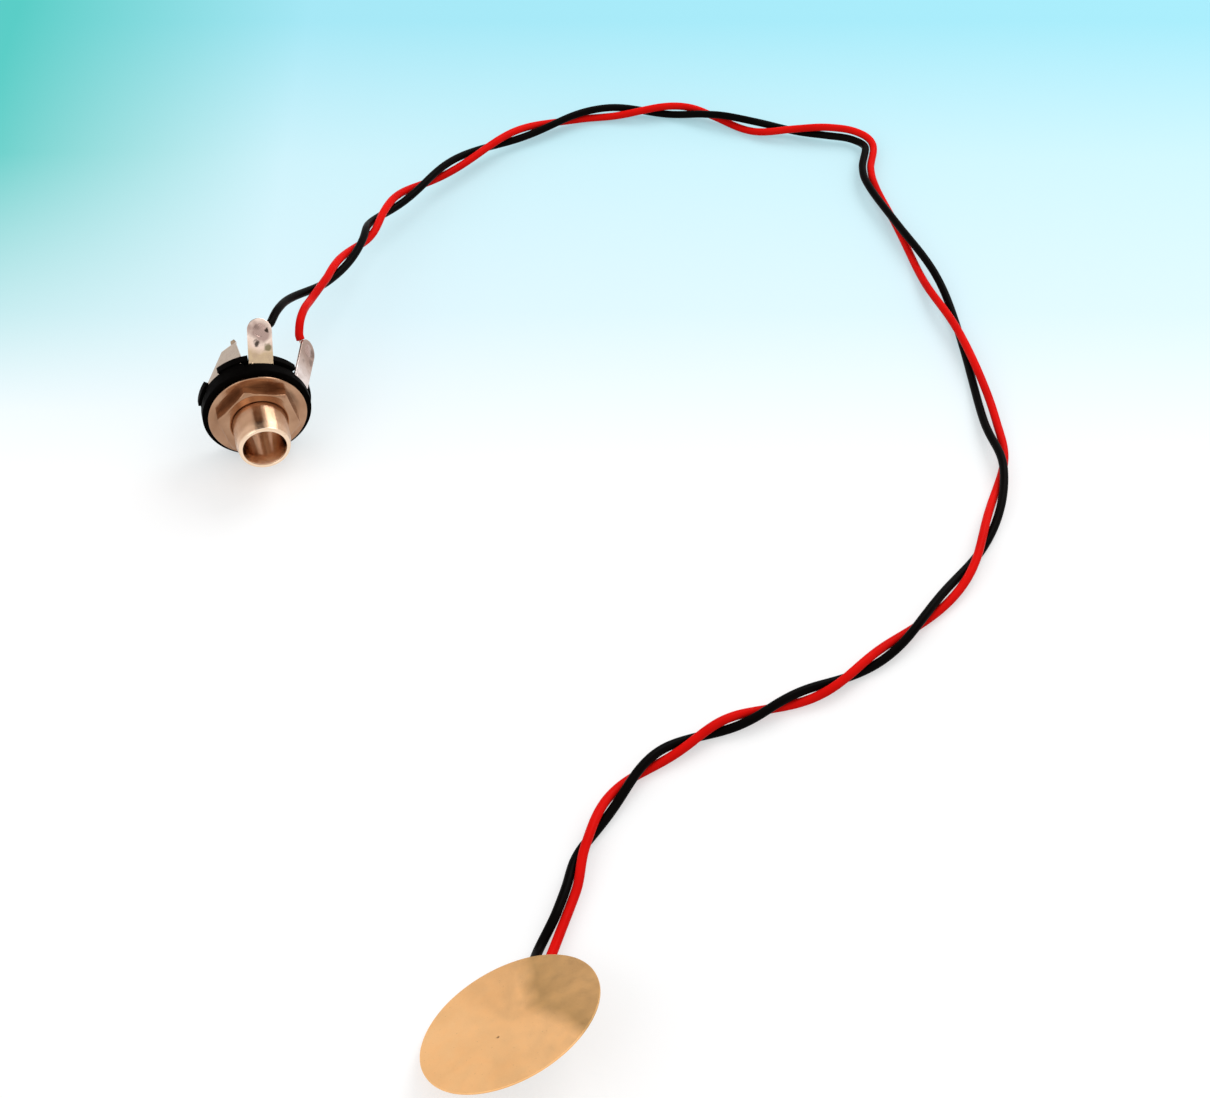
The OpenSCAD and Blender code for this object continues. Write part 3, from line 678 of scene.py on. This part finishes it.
def solder_skin(skin, at, out, along, base, high, seed, columns=40, rows=16):
    """A drop of solder on a face: rings from the foot to the top, low like a fillet at
    the foot, longer along the wire, with slow lumps. Height is high times a raised
    cosine of the distance from the middle."""
    x = unit(along - np.dot(along, out) * out)
    y = np.cross(out, x)
    s = np.linspace(1, 0.0, rows)[:, None]
    a = np.linspace(0, 2 * math.pi, columns, endpoint=False)[None]
    lumps = 1 + 0.05 * np.cos(2 * a + seed) + 0.035 * np.cos(3 * a + 2.1 * seed)
    reach = base * s * lumps * (1 + 0.10 * np.cos(a))
    lift = high * (0.5 + 0.5 * np.cos(math.pi * s ** 1.35)) ** 0.72
    lift = lift * (1 + 0.06 * np.cos(a - seed) * s)
    away = np.cos(a)[..., None] * x + np.sin(a)[..., None] * y
    top = at + reach[..., None] * away + (lift - 0.02)[..., None] * out
    foot = at + reach[:1, :, None] * away * 0.98 - 0.06 * out
    return skin.add(np.concatenate([foot, top[:-1]]), caps=True)


# ---- Disc ----

def brass_disc_skin():
    """The brass plate: rings from its middle out over the plain face, round the edge, and back
    under it. The face is a little wavy, has one small pit, and the edge a faint burr."""
    columns = 240
    a = np.linspace(0, 2 * math.pi, columns, endpoint=False)[None]
    r = DISC_D / 2
    e = 0.06
    flat = np.concatenate([np.linspace(0.05, r - 0.3, 90), [r - 0.18, r - e]])[:, None]
    burr = 0.010 * np.cos(7 * a + 0.4) + 0.006 * np.cos(19 * a)
    x, y = flat * np.cos(a), flat * np.sin(a)
    pit = np.exp(-((x - PIT_X) ** 2 + (y - PIT_Y) ** 2) / PIT_R ** 2)
    ring = np.exp(-((np.hypot(x, y) - CERAMIC_D / 2) / 0.8) ** 2)
    wave = -0.006 - 0.006 * np.cos(0.42 * x + 0.8) * np.cos(0.35 * y) - 0.004 * ring
    wave = wave - PIT_DEEP * pit
    top = np.stack([x, y, wave], -1)
    turn = np.radians([60, 30, 0])[:, None]
    edge_r = r - e * (1 - np.cos(turn)) + 0 * a + burr * 0.5 - 0.01
    upper = ring_grid(edge_r, -0.006 - e * (1 - np.sin(turn)), a)
    lower = ring_grid(edge_r[::-1], -DISC_T + e * (1 - np.sin(turn[::-1])), a)
    under = np.array([r - e, r - 0.2, r - 2, r / 2, 0.05])[:, None]
    bottom = ring_grid(under, -DISC_T + 0 * under, a)
    return on_disc(np.concatenate([top, upper, lower, bottom]))


def layer_skin(diameter, low, high, edge, ripple, columns=160):
    """A thin round layer on the disc's underside, its edge rounded and a little uneven."""
    a = np.linspace(0, 2 * math.pi, columns, endpoint=False)[None]
    r = diameter / 2 + ripple * (np.cos(9 * a + 1) + 0.6 * np.cos(23 * a)) - 1.6 * ripple
    rows = [(0.05, high), (diameter / 2 - 0.6, high), (-edge, high), (0, high - edge / 2 * 0.9),
            (0, low + edge), (-edge * 0.3, low + edge * 0.3), (-edge, low),
            (diameter / 2 - 0.6, low), (0.05, low)]
    rings = [ring_grid(r + s if s <= 0 else s + 0 * a, z, a)[0] for s, z in rows]
    return on_disc(np.stack(rings))


# ---- Jack ----

def bushing_skin():
    """The turned bushing: its side view carried round the axis, its mouth well rounded, its rear
    end rolled over the clamp washer. The lip's brightness is a painted highlight in its plating."""
    bore, thread, neck, shoulder = BORE_D / 2, THREAD_D / 2, NECK_D / 2, SHOULDER_D / 2
    nut_front, shoulder_z = WASHER_T + NUT_T, -FRONT_T + SHOULDER_T
    corners = [(bore, TAIL_Z), (ROLL_D / 2, TAIL_Z), (ROLL_D / 2, CLAMP_Z), (neck, CLAMP_Z),
               (neck, shoulder_z), (shoulder, shoulder_z), (shoulder, 0), (neck, 0),
               (neck, nut_front), (thread, nut_front), (thread, THREAD_L - MOUTH_TAPER_L),
               (thread - MOUTH_TAPER, THREAD_L - 0.02), (MOUTH_D / 2, THREAD_L),
               (bore, THREAD_L - MOUTH_L)]
    sizes = [0.2, 0.24, 0.05, 0.05, 0.05, 0.05, 0.05, 0.02, 0.02, 0.03, 0.7, 0.32, 0.22, 0.35]
    return turned_section(lined(rounded(corners, sizes, 7), 0.3))


def lesser(a, b, sharp):
    """The lesser of two radii, blended where they meet: -ln(e^-ka + e^-kb) / k."""
    return -np.log(np.exp(-a * sharp) + np.exp(-b * sharp)) / sharp


def nut_skin():
    """The hexagon nut: at each turn and height its radius is the lesser of the hexagon's
    and the chamfer cone's, blended over a hair's breadth; then the face, the bore's
    bevel and the bore."""
    columns = 360
    a = np.linspace(0, 2 * math.pi, columns, endpoint=False)[None]
    base, top = WASHER_T + 0.01, WASHER_T + NUT_T
    corner = NUT_AF / 2 / math.cos(math.pi / 6)
    flat = np.mod(a - math.radians(NUT_TURN), math.pi / 3) - math.pi / 6
    hexagon = NUT_AF / 2 / np.cos(flat)
    hexagon = lesser(hexagon, corner - 0.06, 18)
    z = np.concatenate([[base, base + 0.05], np.linspace(base + 0.12, top - 0.6, 4),
                        np.linspace(top - 0.5, top - 0.1, 13), [top]])[:, None]
    cone = np.interp(z, [base, base + 0.1, top - 0.45, top],
                     [corner - 0.05, corner + 0.3, corner + 0.12, NUT_AF / 2 + 0.12])
    r = lesser(hexagon, cone, 22)
    r[-1] -= 0.11
    side = ring_grid(r, z, a)
    thread = THREAD_D / 2
    face = [(r[-1] * (1 - share) + (thread + 0.34) * share, top)
            for share in (0.06, 0.35, 0.7, 0.94)]
    bore = [(thread + 0.30, top - 0.01), (thread + 0.05, top - 0.26), (NECK_D / 2, top - 0.32),
            (NECK_D / 2, base), (thread + 0.5, base), (NUT_AF / 2 - 0.4, base)]
    inside = [ring_grid(here, height, a[0]) for here, height in face + bore]
    return np.concatenate([side, np.stack(inside)])


def front_insulator_section():
    """Side view of the front insulator: the thick board with its recess for the bushing's
    shoulder, and the collar behind it."""
    neck, shoulder, recess = NECK_D / 2 + GAP, SHOULDER_D / 2 + GAP, -FRONT_T + SHOULDER_T - GAP
    corners = [(neck, TIP_Z), (HUB_D / 2, TIP_Z), (HUB_D / 2, -FRONT_T), (FRONT_D / 2, -FRONT_T),
               (FRONT_D / 2, 0), (shoulder, 0), (shoulder, recess), (neck, recess)]
    sizes = [0.04, 0.04, 0.04, 0.04, 0.25, 0.06, 0.04, 0.04]
    return turned_section(lined(rounded(corners, sizes), 0.5))


def half_angle(wide, r):
    """Angle, in degrees, that half the width takes up at radius r."""
    return math.degrees(math.asin(wide / 2 / r))


def walled_block(inner, outer, low, high, turn=0.0):
    """A block carried along two lines of points, an inner and an outer one: at each step
    a box with rounded edges from the inner to the outer point and from low to high."""
    corners = [(0, low), (0, high), (1, high), (1, low)]
    section = lined(rounded(corners, [0.03, 0.01, 0.01, 0.05], 3), 0.25)
    xy = inner[:, None] + section[None, :, :1] * (outer - inner)[:, None]
    z = np.broadcast_to(section[None, :, 1:], (*xy.shape[:2], 1))
    return on_jack(turned(np.concatenate([xy, z], -1), turn))


def arc(r, low, high, steps):
    """Points of an arc of radius r, by angles in degrees."""
    a = np.radians(np.linspace(low, high, steps))
    return np.stack([r * np.cos(a), r * np.sin(a)], -1)


def front_insulator_skin(skin):
    """Front insulator: its side view carried round the axis, and behind it the raised
    rim in two long blocks between the tip lug's gap and the spring's slot, with a short
    one outside the slot."""
    skin.add(on_jack(front_insulator_section()), along=True)
    inner, outer, slot = TERMINAL_RING_D / 2 + GAP, FRONT_D / 2, SPRING_SLOT_R + SPRING_SLOT_W
    wide, low, high = SPRING_BASE_W + 0.2, TIP_Z, -FRONT_T + 0.01
    starts = [TIP_LUG["turn"] + half_angle(NOTCH_W, r) for r in (inner, outer)]
    nears = [SPRING_TURN - half_angle(wide, r) for r in (inner, outer)]
    fars = [SPRING_TURN + half_angle(wide, r) for r in (inner, outer)]
    ends = [TIP_LUG["turn"] + 360 - half_angle(NOTCH_W, r) for r in (inner, outer)]
    for first, last, steps in ((starts, nears, 24), (fars, ends, 76)):
        lines = [arc(r, a, b, steps) for r, a, b in zip((inner, outer), first, last)]
        skin.add(walled_block(*lines, low, high), caps=True)
    y = np.linspace(-4.1, 4.1, 30)
    edge = np.sqrt(outer ** 2 - y ** 2)
    island = np.stack([np.minimum(slot, edge - 0.14), y], -1), np.stack([edge, y], -1)
    return skin.add(walled_block(*island, REAR_Z + REAR_T + 0.02, high, SPRING_TURN), caps=True)


def notch_corners(turn, r, wide, deep_r):
    """Corners of a flat-bottomed notch in a rim, anticlockwise: in along one side, along
    the bottom, and out along the other."""
    rim, half = math.sqrt(deep_r ** 2 - (wide / 2) ** 2), wide / 2
    xy = np.array([[rim, -half], [r, -half], [r, half], [rim, half]])
    c, s = math.cos(math.radians(turn)), math.sin(math.radians(turn))
    return xy @ np.array([[c, s], [-s, c]])


def rim_outline(notches):
    """Outline of the rear insulator, anticlockwise from its first step: a large toothed
    half, then a smaller plain half. notches are (turn, depth radius, width)."""
    parts = []
    at = EARS_FROM
    big = EAR_D / 2
    for turn, r, wide in notches:
        half = half_angle(wide, big)
        parts.append(arc(big, at, turn - half, 26)[:-1])
        corners = notch_corners(turn, r, wide, big)
        for p, q in zip(corners[:-1], corners[1:]):
            parts.append(p + (q - p) * np.linspace(0, 1, 9)[:-1, None])
        parts.append(corners[-1:])
        at = turn + half + 0.5
    parts.append(arc(big, at, EARS_TO, 26))
    parts.append(arc(PLAIN_D / 2, EARS_TO + 0.2, EARS_FROM + 359.8, 90))
    return np.concatenate(parts)


def rear_insulator_skin(skin):
    """Rear insulator: its notched outline and its hole joined into a plate, and the
    tongue of board that is left outside the spring's slot."""
    wide, ear = SPRING_BASE_W + 0.2, EAR_D / 2
    outline = rim_outline([(TIP_LUG["turn"], NOTCH_R, NOTCH_W),
                           (SLEEVE_LUG["turn"], NOTCH_R, NOTCH_W),
                           (SPRING_TURN, SPRING_SLOT_R, wide)])
    hole = (NECK_D / 2 + GAP) * unit(outline)
    skin.add(on_jack(outline_plate(outline, hole, REAR_Z, REAR_Z + REAR_T, edge=0.10)), along=True)
    y = np.linspace(-wide / 2 - 0.25, 0.3, 14)
    inner = np.stack([SPRING_SLOT_R + SPRING_SLOT_W + 0 * y, y], -1)
    outer = arc(ear, -half_angle(wide + 0.5, ear), 3.0, 14)
    return skin.add(walled_block(inner, outer, REAR_Z, REAR_Z + REAR_T, SPRING_TURN), caps=True)


def washer_skin(outer, inner, low, high, edge):
    """A flat ring with rounded edges."""
    return outline_plate(circle(outer / 2), circle(inner / 2), low, high, edge)


def turned_piece(grid, name, material, slot, node):
    """A piece of the jack from one grid that closes on itself both ways."""
    Skin().add(on_jack(grid), along=True).piece(name, material, slot, node)


# ---- Sheet-metal contacts ----

def bent(x, path):
    """Where a distance x along a flat strip comes to on its bent side view: the place and
    the direction that faces away from the strip."""
    s = np.concatenate([[0], np.cumsum(np.linalg.norm(np.diff(path, axis=0), axis=1))])
    place = np.stack([np.interp(x, s, path[:, k]) for k in (0, 1)], -1)
    way = unit(np.gradient(path, s, axis=0))
    slope = unit(np.stack([np.interp(x, s, way[:, k]) for k in (0, 1)], -1))
    return place, np.stack([-slope[..., 1], slope[..., 0]], -1), s[-1]


def lug_side_view(lug):
    """Side view of a lug's middle line: out along the ring, round the bend, then back."""
    c = np.array([LUG_BEND_R - BEND_R, lug["z"] - BEND_R])
    a = np.radians(np.linspace(90, lug["lean"], 15))
    bend = c + BEND_R * np.stack([np.cos(a), np.sin(a)], -1)
    lean = math.radians(lug["lean"])
    end = bend[-1] + lug["long"] * np.array([math.sin(lean), -math.cos(lean)])
    start = np.array([TERMINAL_RING_D / 2 - 1, lug["z"]])
    first = start + (bend[0] - start) * np.linspace(0, 1, 5)[:-1, None]
    last = bend[-1] + (end - bend[-1]) * np.linspace(0, 1, 41)[1:, None]
    return np.concatenate([first, bend, last])


def lug_skin(lug):
    """A solder lug: lines from its eye out to its outline, over the face, round the edge
    and back, drawn flat and then laid on the bent side view. The outline is straight
    sides and a half-round end; each line runs from the eye to one point of it."""
    path = lug_side_view(lug)
    total = bent(np.zeros(1), path)[2]
    eye = total - LUG_W / 2
    w = LUG_W / 2
    end = np.radians(np.linspace(-90, 90, 41))
    back = np.linspace(0, eye, 60)
    outline = np.concatenate([
        np.stack([back, np.full(60, -w)], -1)[:-1],
        np.stack([eye + w * np.cos(end), w * np.sin(end)], -1),
        np.stack([back[::-1], np.full(60, w)], -1)[1:],
        np.stack([np.zeros(13), np.linspace(w, -w, 15)[1:-1]], -1)])
    middle = np.array([eye, 0.0])
    hole = middle + EYE_D / 2 * unit(outline - middle)
    half = SHEET_T / 2
    flat = outline_plate(outline, hole, -half, half, SHEET_EDGE, rows=44, on_rays=True)
    x = np.clip(flat[..., 0], 0, total)
    place, face, _ = bent(x, path)
    xz = place + flat[..., 2:3] * face
    return turned(np.stack([xz[..., 0], flat[..., 1], xz[..., 1]], -1), lug["turn"])


def spring_skin():
    """Tip contact spring: a flat section carried along its side view, broad at the foot,
    narrow at the shoulder, and pointed past the ridge; its edges are rounded."""
    c = np.array([SPRING_BEND_R - BEND_R, TIP_Z + SHEET_T / 2 - BEND_R])
    lean = -math.atan((SPRING_BEND_R - SPRING_SHOULDER[0]) / (c[1] - SPRING_SHOULDER[1]))
    a = np.linspace(math.pi / 2, lean, 14)
    bend = c + BEND_R * np.stack([np.cos(a), np.sin(a)], -1)
    points = np.concatenate([[[TERMINAL_RING_D / 2 - 1, TIP_Z + SHEET_T / 2]], bend,
                             [SPRING_SHOULDER, SPRING_RIDGE, SPRING_END]])
    s = np.concatenate([[0], np.cumsum(np.linalg.norm(np.diff(points, axis=0), axis=1))])
    x = np.unique(np.concatenate([np.linspace(0, s[-1], 90), s]))
    place, face, total = bent(x, points)
    wide = np.interp(-place[:, 1], [0, -REAR_Z, -SPRING_SHOULDER[1], -SPRING_END[1] + 0.3],
                     [SPRING_BASE_W / 2] * 2 + [SPRING_SHOULDER_W / 2, SPRING_END_W / 2])
    half, e = SHEET_T / 2, SHEET_EDGE
    turn = np.radians([90, 60, 30, 0, -30, -60, -90])
    rim_y, rim_z = e * (np.cos(turn) - 1), (half - e) * np.sign(np.sin(turn)) + e * np.sin(turn)
    across = np.linspace(-1, 1, 9)
    top = [(0.0, f, half) for f in across[1:-1]]
    right = [(dy, 1.0, dz) for dy, dz in zip(rim_y, rim_z)]
    under = [(0.0, f, -half) for f in across[::-1][1:-1]]
    left = [(-dy, -1.0, dz) for dy, dz in zip(rim_y[::-1], rim_z[::-1])]
    section = np.array(top + right + under + left)
    y = wide[:, None] * section[None, :, 1] + section[None, :, 0]
    xz = place[:, None] + section[None, :, 2, None] * face[:, None]
    return turned(np.stack([xz[..., 0], y, xz[..., 1]], -1), SPRING_TURN)


# ---- Solder and stains on the lugs ----

def lug_axes(lug):
    """The middle of a lug's eye, and the directions from it down the lug and across it."""
    eye = lug["long"] - LUG_W / 2
    down = unit(lug_point(lug, eye - 1, 0) - lug_point(lug, eye, 0))
    inward = unit(lug_point(lug, eye, 1) - lug_point(lug, eye, 0))
    return lug_point(lug, eye, -SHEET_T / 2), (down, np.cross(down, inward))


def lug_solder(name, lug, leaves, node, seed, marks):
    """Solder on a lug's eye: a flat drop on the outer face and a full one on the inner,
    where the wires lie."""
    eye = lug["long"] - LUG_W / 2
    inner = unit(lug_point(lug, eye, 1.0) - lug_point(lug, eye, 0.0))
    skin = Skin()
    solder_skin(skin, lug_point(lug, eye, SHEET_T / 2), inner, leaves, 1.5, 1.05, seed)
    solder_skin(skin, lug_point(lug, eye, -SHEET_T / 2), -inner, leaves, 1.28, 0.14, seed + 1)
    skin.piece(name, bright_solder(name + "_metal", *lug_axes(lug), marks), "solder", node)


# Flux and burn colours are stains; the olive colour is a painted dark reflection, put on the sleeve
# lug's lower part.
FLUX, OLIVE_REFLECTION, BURN = (0.030, 0.020, 0.015), (0.16, 0.135, 0.055), (0.10, 0.060, 0.045)
SLEEVE_MARKS = ((0.0, 1.15, 0.42, 0.95, FLUX), (-0.4, -0.5, 0.5, 0.35, BURN),
                (2.45, -0.65, 0.60, 0.92, FLUX), (1.9, -0.9, 0.35, 0.7, BURN),
                (3.2, 1.3, 0.75, 0.85, OLIVE_REFLECTION))
TIP_MARKS = ((-0.3, 1.2, 0.9, 0.6, BURN), (1.6, 1.4, 0.7, 0.5, BURN), (2.8, -0.8, 0.45, 0.4, BURN))
# Colours by distance from each lug's eye: painted reflections, a painted highlight band, and tan
# further off.
SLEEVE_STOPS = ((0.0, MAUVE_REFLECTION), (0.12, MAUVE_REFLECTION), (0.19, (0.90, 0.72, 0.62)), (0.27, (0.86, 0.66, 0.55)),
                (0.37, (0.62, 0.46, 0.29)), (1.0, (0.55, 0.42, 0.30)))
TIP_STOPS = ((0.0, (0.33, 0.225, 0.185)), (0.14, (0.36, 0.25, 0.205)), (0.30, (0.52, 0.40, 0.35)),
             (0.46, (0.76, 0.66, 0.62)), (0.75, (0.80, 0.72, 0.69)), (1.0, (0.38, 0.28, 0.195)))


# ---- Studio ----

WORLD_LIGHT, FLOOR_GLOW, FLOOR_DROP = 0.74, 0.50, 0.02


def studio():
    """A plain floor, white in front, that turns pale blue far off and teal at its left
    corner, and soft lamps."""
    world = bpy.data.worlds.new("studio_air")
    bpy.context.scene.world = world
    world.use_nodes = True
    nodes, links = world.node_tree.nodes, world.node_tree.links
    back = nodes["Background"]
    path = nodes.new("ShaderNodeLightPath")
    seen = nodes.new("ShaderNodeMath")
    seen.operation = "MAXIMUM"
    links.new(path.outputs["Is Camera Ray"], seen.inputs[0])
    links.new(path.outputs["Is Glossy Ray"], seen.inputs[1])
    level = nodes.new("ShaderNodeMapRange")
    level.inputs["To Min"].default_value, level.inputs["To Max"].default_value = WORLD_LIGHT, 1.0
    links.new(seen.outputs[0], level.inputs["Value"])
    links.new(level.outputs[0], back.inputs["Strength"])
    back.inputs["Color"].default_value = (1, 1, 1, 1)

    lamps = {"key": ((420, 330, 460), 420, 1.7), "fill": ((-420, -260, 460), 460, 0.7)}
    for name, (at, wide, power) in lamps.items():
        data = bpy.data.lights.new(name, "AREA")
        data.shape, data.size, data.energy = "DISK", wide * MM, power
        lamp = bpy.data.objects.new(name, data)
        bpy.context.scene.collection.objects.link(lamp)
        lamp.location = np.array(at) * MM
        aim = unit(np.array([40.0, 40.0, 0.0]) - np.array(at))
        lamp.rotation_euler = (math.acos(-aim[2]), 0, math.atan2(aim[1], aim[0]) - math.pi / 2)

    p = Paint("pale_floor")
    c, d = math.cos(math.radians(CAMERA_TURN)), math.sin(math.radians(CAMERA_TURN))
    away = p.reach(p.place, (d, c, 0))
    aside = p.reach(p.place, (c, -d, 0))
    tint = p.ramp(p.spread(away, 0.05, 0.20, 0.0, 1.0), (0.0, (1.0, 1.0, 1.0)),
                  (0.32, (0.72, 0.90, 0.96)), (0.65, (0.60, 0.86, 0.93)), (1.0, (0.36, 0.76, 0.87)))
    path = p.node("LightPath").outputs
    corner = p.maths("MULTIPLY", p.spread(away, 0.07, 0.15, 0.0, 0.95),
                     p.spread(aside, -0.03, -0.095, 0.0, 1.0))
    tint = p.mix(corner, tint, (0.085, 0.58, 0.53))
    tint = p.mix(path["Is Camera Ray"], (1.0, 1.0, 1.0), tint)
    dimmed = p.mix(1.0, tint, (0.52, 0.52, 0.52), "MULTIPLY")
    matt = p.node("BsdfDiffuse", {"Color": dimmed}).outputs[0]
    through = p.maths("MAXIMUM", path["Is Glossy Ray"], path["Is Transmission Ray"])
    seen = p.maths("MAXIMUM", path["Is Camera Ray"], through)
    strength = p.maths("MULTIPLY", seen, FLOOR_GLOW)
    glow = p.node("Emission", {"Color": tint, "Strength": strength}).outputs[0]
    both = p.node("AddShader", {0: matt, 1: glow}).outputs[0]
    p.links.new(both, p.nodes["Material Output"].inputs["Surface"])
    rows = np.stack(np.meshgrid(*[np.linspace(-2600, 2600, 40)] * 2, indexing="ij"), -1)
    points = np.concatenate([rows, -FLOOR_DROP + 0 * rows[..., :1]], -1)
    stage_piece("floor", points, p.material)


def stage_piece(name, points, material):
    """A grid of points as one stage object, not part of the pickup."""
    mesh = bpy.data.meshes.new(name)
    faces = grid_faces(*points.shape[:2], False, False)
    mesh.from_pydata((points.reshape(-1, 3) * MM).tolist(), [], faces.tolist())
    mesh.materials.append(material)
    thing = bpy.data.objects.new(name, mesh)
    bpy.context.scene.collection.objects.link(thing)
    return thing


def dark_arch(name, far, wide, low, high, turn, aim):
    """A dark strip bent over behind the jack that only bright metal shows, as a soft
    stripe: at distance far, from elevation low to high, turned about the upright."""
    a, b = math.radians(turn), np.radians(np.linspace(low, high, 24))[:, None, None]
    back, side = np.array([-math.sin(a), math.cos(a), 0]), np.array([math.cos(a), math.sin(a), 0])
    s = np.linspace(-0.5, 0.5, 5)[None, :, None]
    points = aim + far * (np.cos(b) * back + np.sin(b) * np.array([0, 0, 1.0])) + s * wide * side
    p = Paint(name)
    p.links.new(p.node("Emission", {"Color": (0.030, 0.014, 0.009, 1), "Strength": 1.0}).outputs[0],
                p.nodes["Material Output"].inputs["Surface"])
    card = stage_piece(name, points, p.material)
    card.visible_camera = card.visible_diffuse = card.visible_shadow = False
    card.visible_transmission = False


# ---- Putting it together ----

set_camera()

turned_plating = plated_brass("turned_plating", (0.55, 0.33, 0.20), (0.66, 0.42, 0.27),
                              (0.74, 0.50, 0.34), grooves_and_lip_highlight=0.5)
# The next two are darker copies of the turned plating: painted shade for the dimmer surroundings
# that the nut and washers reflect. The flat washer's copy also carries the painted shade ring round
# the nut.
shaded_plating = plated_brass("shaded_plating", (0.33, 0.18, 0.105), (0.42, 0.245, 0.15),
                               (0.50, 0.305, 0.19))
shaded_washer_plating = plated_brass("shaded_washer_plating", (0.35, 0.19, 0.11), (0.43, 0.25, 0.155),
                              (0.50, 0.305, 0.19), shade_ring_r=7.8)
board = black_fibre_board()
solder, wires = bright_solder("bright_solder"), tinned_copper()
red = soft_insulation("red_insulation", (0.58, 0.004, 0.003), (0.70, 0.006, 0.004),
                      (0.78, 0.009, 0.006), 0.30)
black = soft_insulation("black_insulation", (0.0016, 0.0012, 0.0011), (0.0024, 0.0018, 0.0016),
                        (0.0042, 0.0034, 0.0030), 0.34)

for colour, line, cover in (("red", RED_LINE, red), ("black", BLACK_LINE, black)):
    lead = Skin().add(insulation(line), caps=True)
    lead = lead.piece(colour + "_lead_cover", cover, colour + "_insulation", colour + "_lead")

bundles = {
    "lug_wires_red": (RED_LUG_JOINT, RED_LEAVES, BARE_L, "lug_strands_red"),
    "lug_wires_black": (BLACK_LUG_JOINT, BLACK_LEAVES, BARE_L, "lug_strands_black"),
    "disc_wires_red": (RED_DISC_END, RED_ARRIVES, RED_DISC_BARE_L, "disc_strands_red"),
    "disc_wires_black": (BLACK_DISC_END, BLACK_ARRIVES, DISC_BARE_L, "disc_strands_black")}
for name, (joint, leaves, bare, node) in bundles.items():
    start = joint - WIRE_IN_SOLDER * unit(leaves)
    wire_bundle(Skin(), start, joint + (bare + WIRE_IN_COVER) * unit(leaves)).piece(
        name, wires, "strands", node)

under = -DISC_T - CERAMIC_T
ceramic = layer_skin(CERAMIC_D, under, -DISC_T, 0.06, 0.01)
print_d = CERAMIC_D - 2 * ELECTRODE_MARGIN
silver = layer_skin(print_d, under - ELECTRODE_T, under, 0.015, 0.03)
for grid, *said in (
        (brass_disc_skin(), "brass_plate", rolled_brass(), "brass_plate", "brass_disc"),
        (ceramic, "ceramic_disc", fired_ceramic(), "ceramic", "ceramic_element"),
        (silver, "silver_print", printed_silver(), "silver_print", "silver_electrode")):
    Skin().add(grid, caps=True).piece(*said)

for name, spot, low, arrives, base, seed, node in (
        ("solder_on_silver", RED_DISC_JOINT, STACK_T, RED_ARRIVES, 1.5, 0.6,
         "disc_solder_red"),
        ("solder_on_brass", BLACK_DISC_JOINT, DISC_T, BLACK_ARRIVES, 1.35, 2.2,
         "disc_solder_black")):
    drop = solder_skin(Skin(), on_disc([*spot, -low]), -DISC_OUT, arrives, base, 1.15, seed)
    drop.piece(name, solder, "solder", node)
lug_solder("solder_on_tip_lug", TIP_LUG, RED_LEAVES, "lug_solder_red", 0.3, TIP_MARKS)
lug_solder("solder_on_sleeve_lug", SLEEVE_LUG, BLACK_LEAVES, "lug_solder_black", 1.7, SLEEVE_MARKS)

flat_washer = washer_skin(WASHER_D, THREAD_D + 4 * GAP, 0.0, WASHER_T, 0.1)
rear_washer = washer_skin(CLAMP_D, NECK_D + 2 * GAP, CLAMP_Z, CLAMP_Z + CLAMP_T, 0.08)
middle_board = washer_skin(TERMINAL_RING_D, NECK_D + 2 * GAP, FILM_Z, FILM_Z + FILM_T, 0.05)
turned_piece(bushing_skin(), "jack_bushing", turned_plating, "nickel", "bushing")
turned_piece(nut_skin(), "hexagon_nut", shaded_plating, "nickel", "panel_nut")
turned_piece(flat_washer, "flat_washer", shaded_washer_plating, "nickel", "panel_washer")
turned_piece(rear_washer, "rear_washer", shaded_plating, "nickel", "clamp_washer")
front_insulator_skin(Skin()).piece("front_board", board, "phenolic", "front_insulator")
rear_insulator_skin(Skin()).piece("rear_board", board, "phenolic", "rear_insulator")
turned_piece(middle_board, "middle_board", board, "phenolic", "insulating_washer")

for lug, z, hole_d, marks, stops, *said in (
        (TIP_LUG, TIP_Z, HUB_D + 2 * GAP, TIP_MARKS, TIP_STOPS,
         "tip_contact", "tinned_tip", "tip_terminal"),
        (SLEEVE_LUG, SLEEVE_Z, NECK_D, SLEEVE_MARKS, SLEEVE_STOPS,
         "sleeve_contact", "tinned_sleeve", "sleeve_terminal")):
    name, tin, node = said
    ring = washer_skin(TERMINAL_RING_D, hole_d, z, z + SHEET_T, 0.05)
    contact = Skin().add(on_jack(ring), along=True).add(on_jack(lug_skin(lug)), along=True)
    if lug is TIP_LUG:
        contact.add(on_jack(spring_skin()), caps=True)
    contact.piece(name, tinned_sheet(tin, *lug_axes(lug), marks, *stops), "tinned_brass", node)

studio()
dark_arch("stripe_arch", 90, 48, 8, 88, 6.2, JACK_AT)
bpy.context.scene.view_settings.view_transform = "Standard"
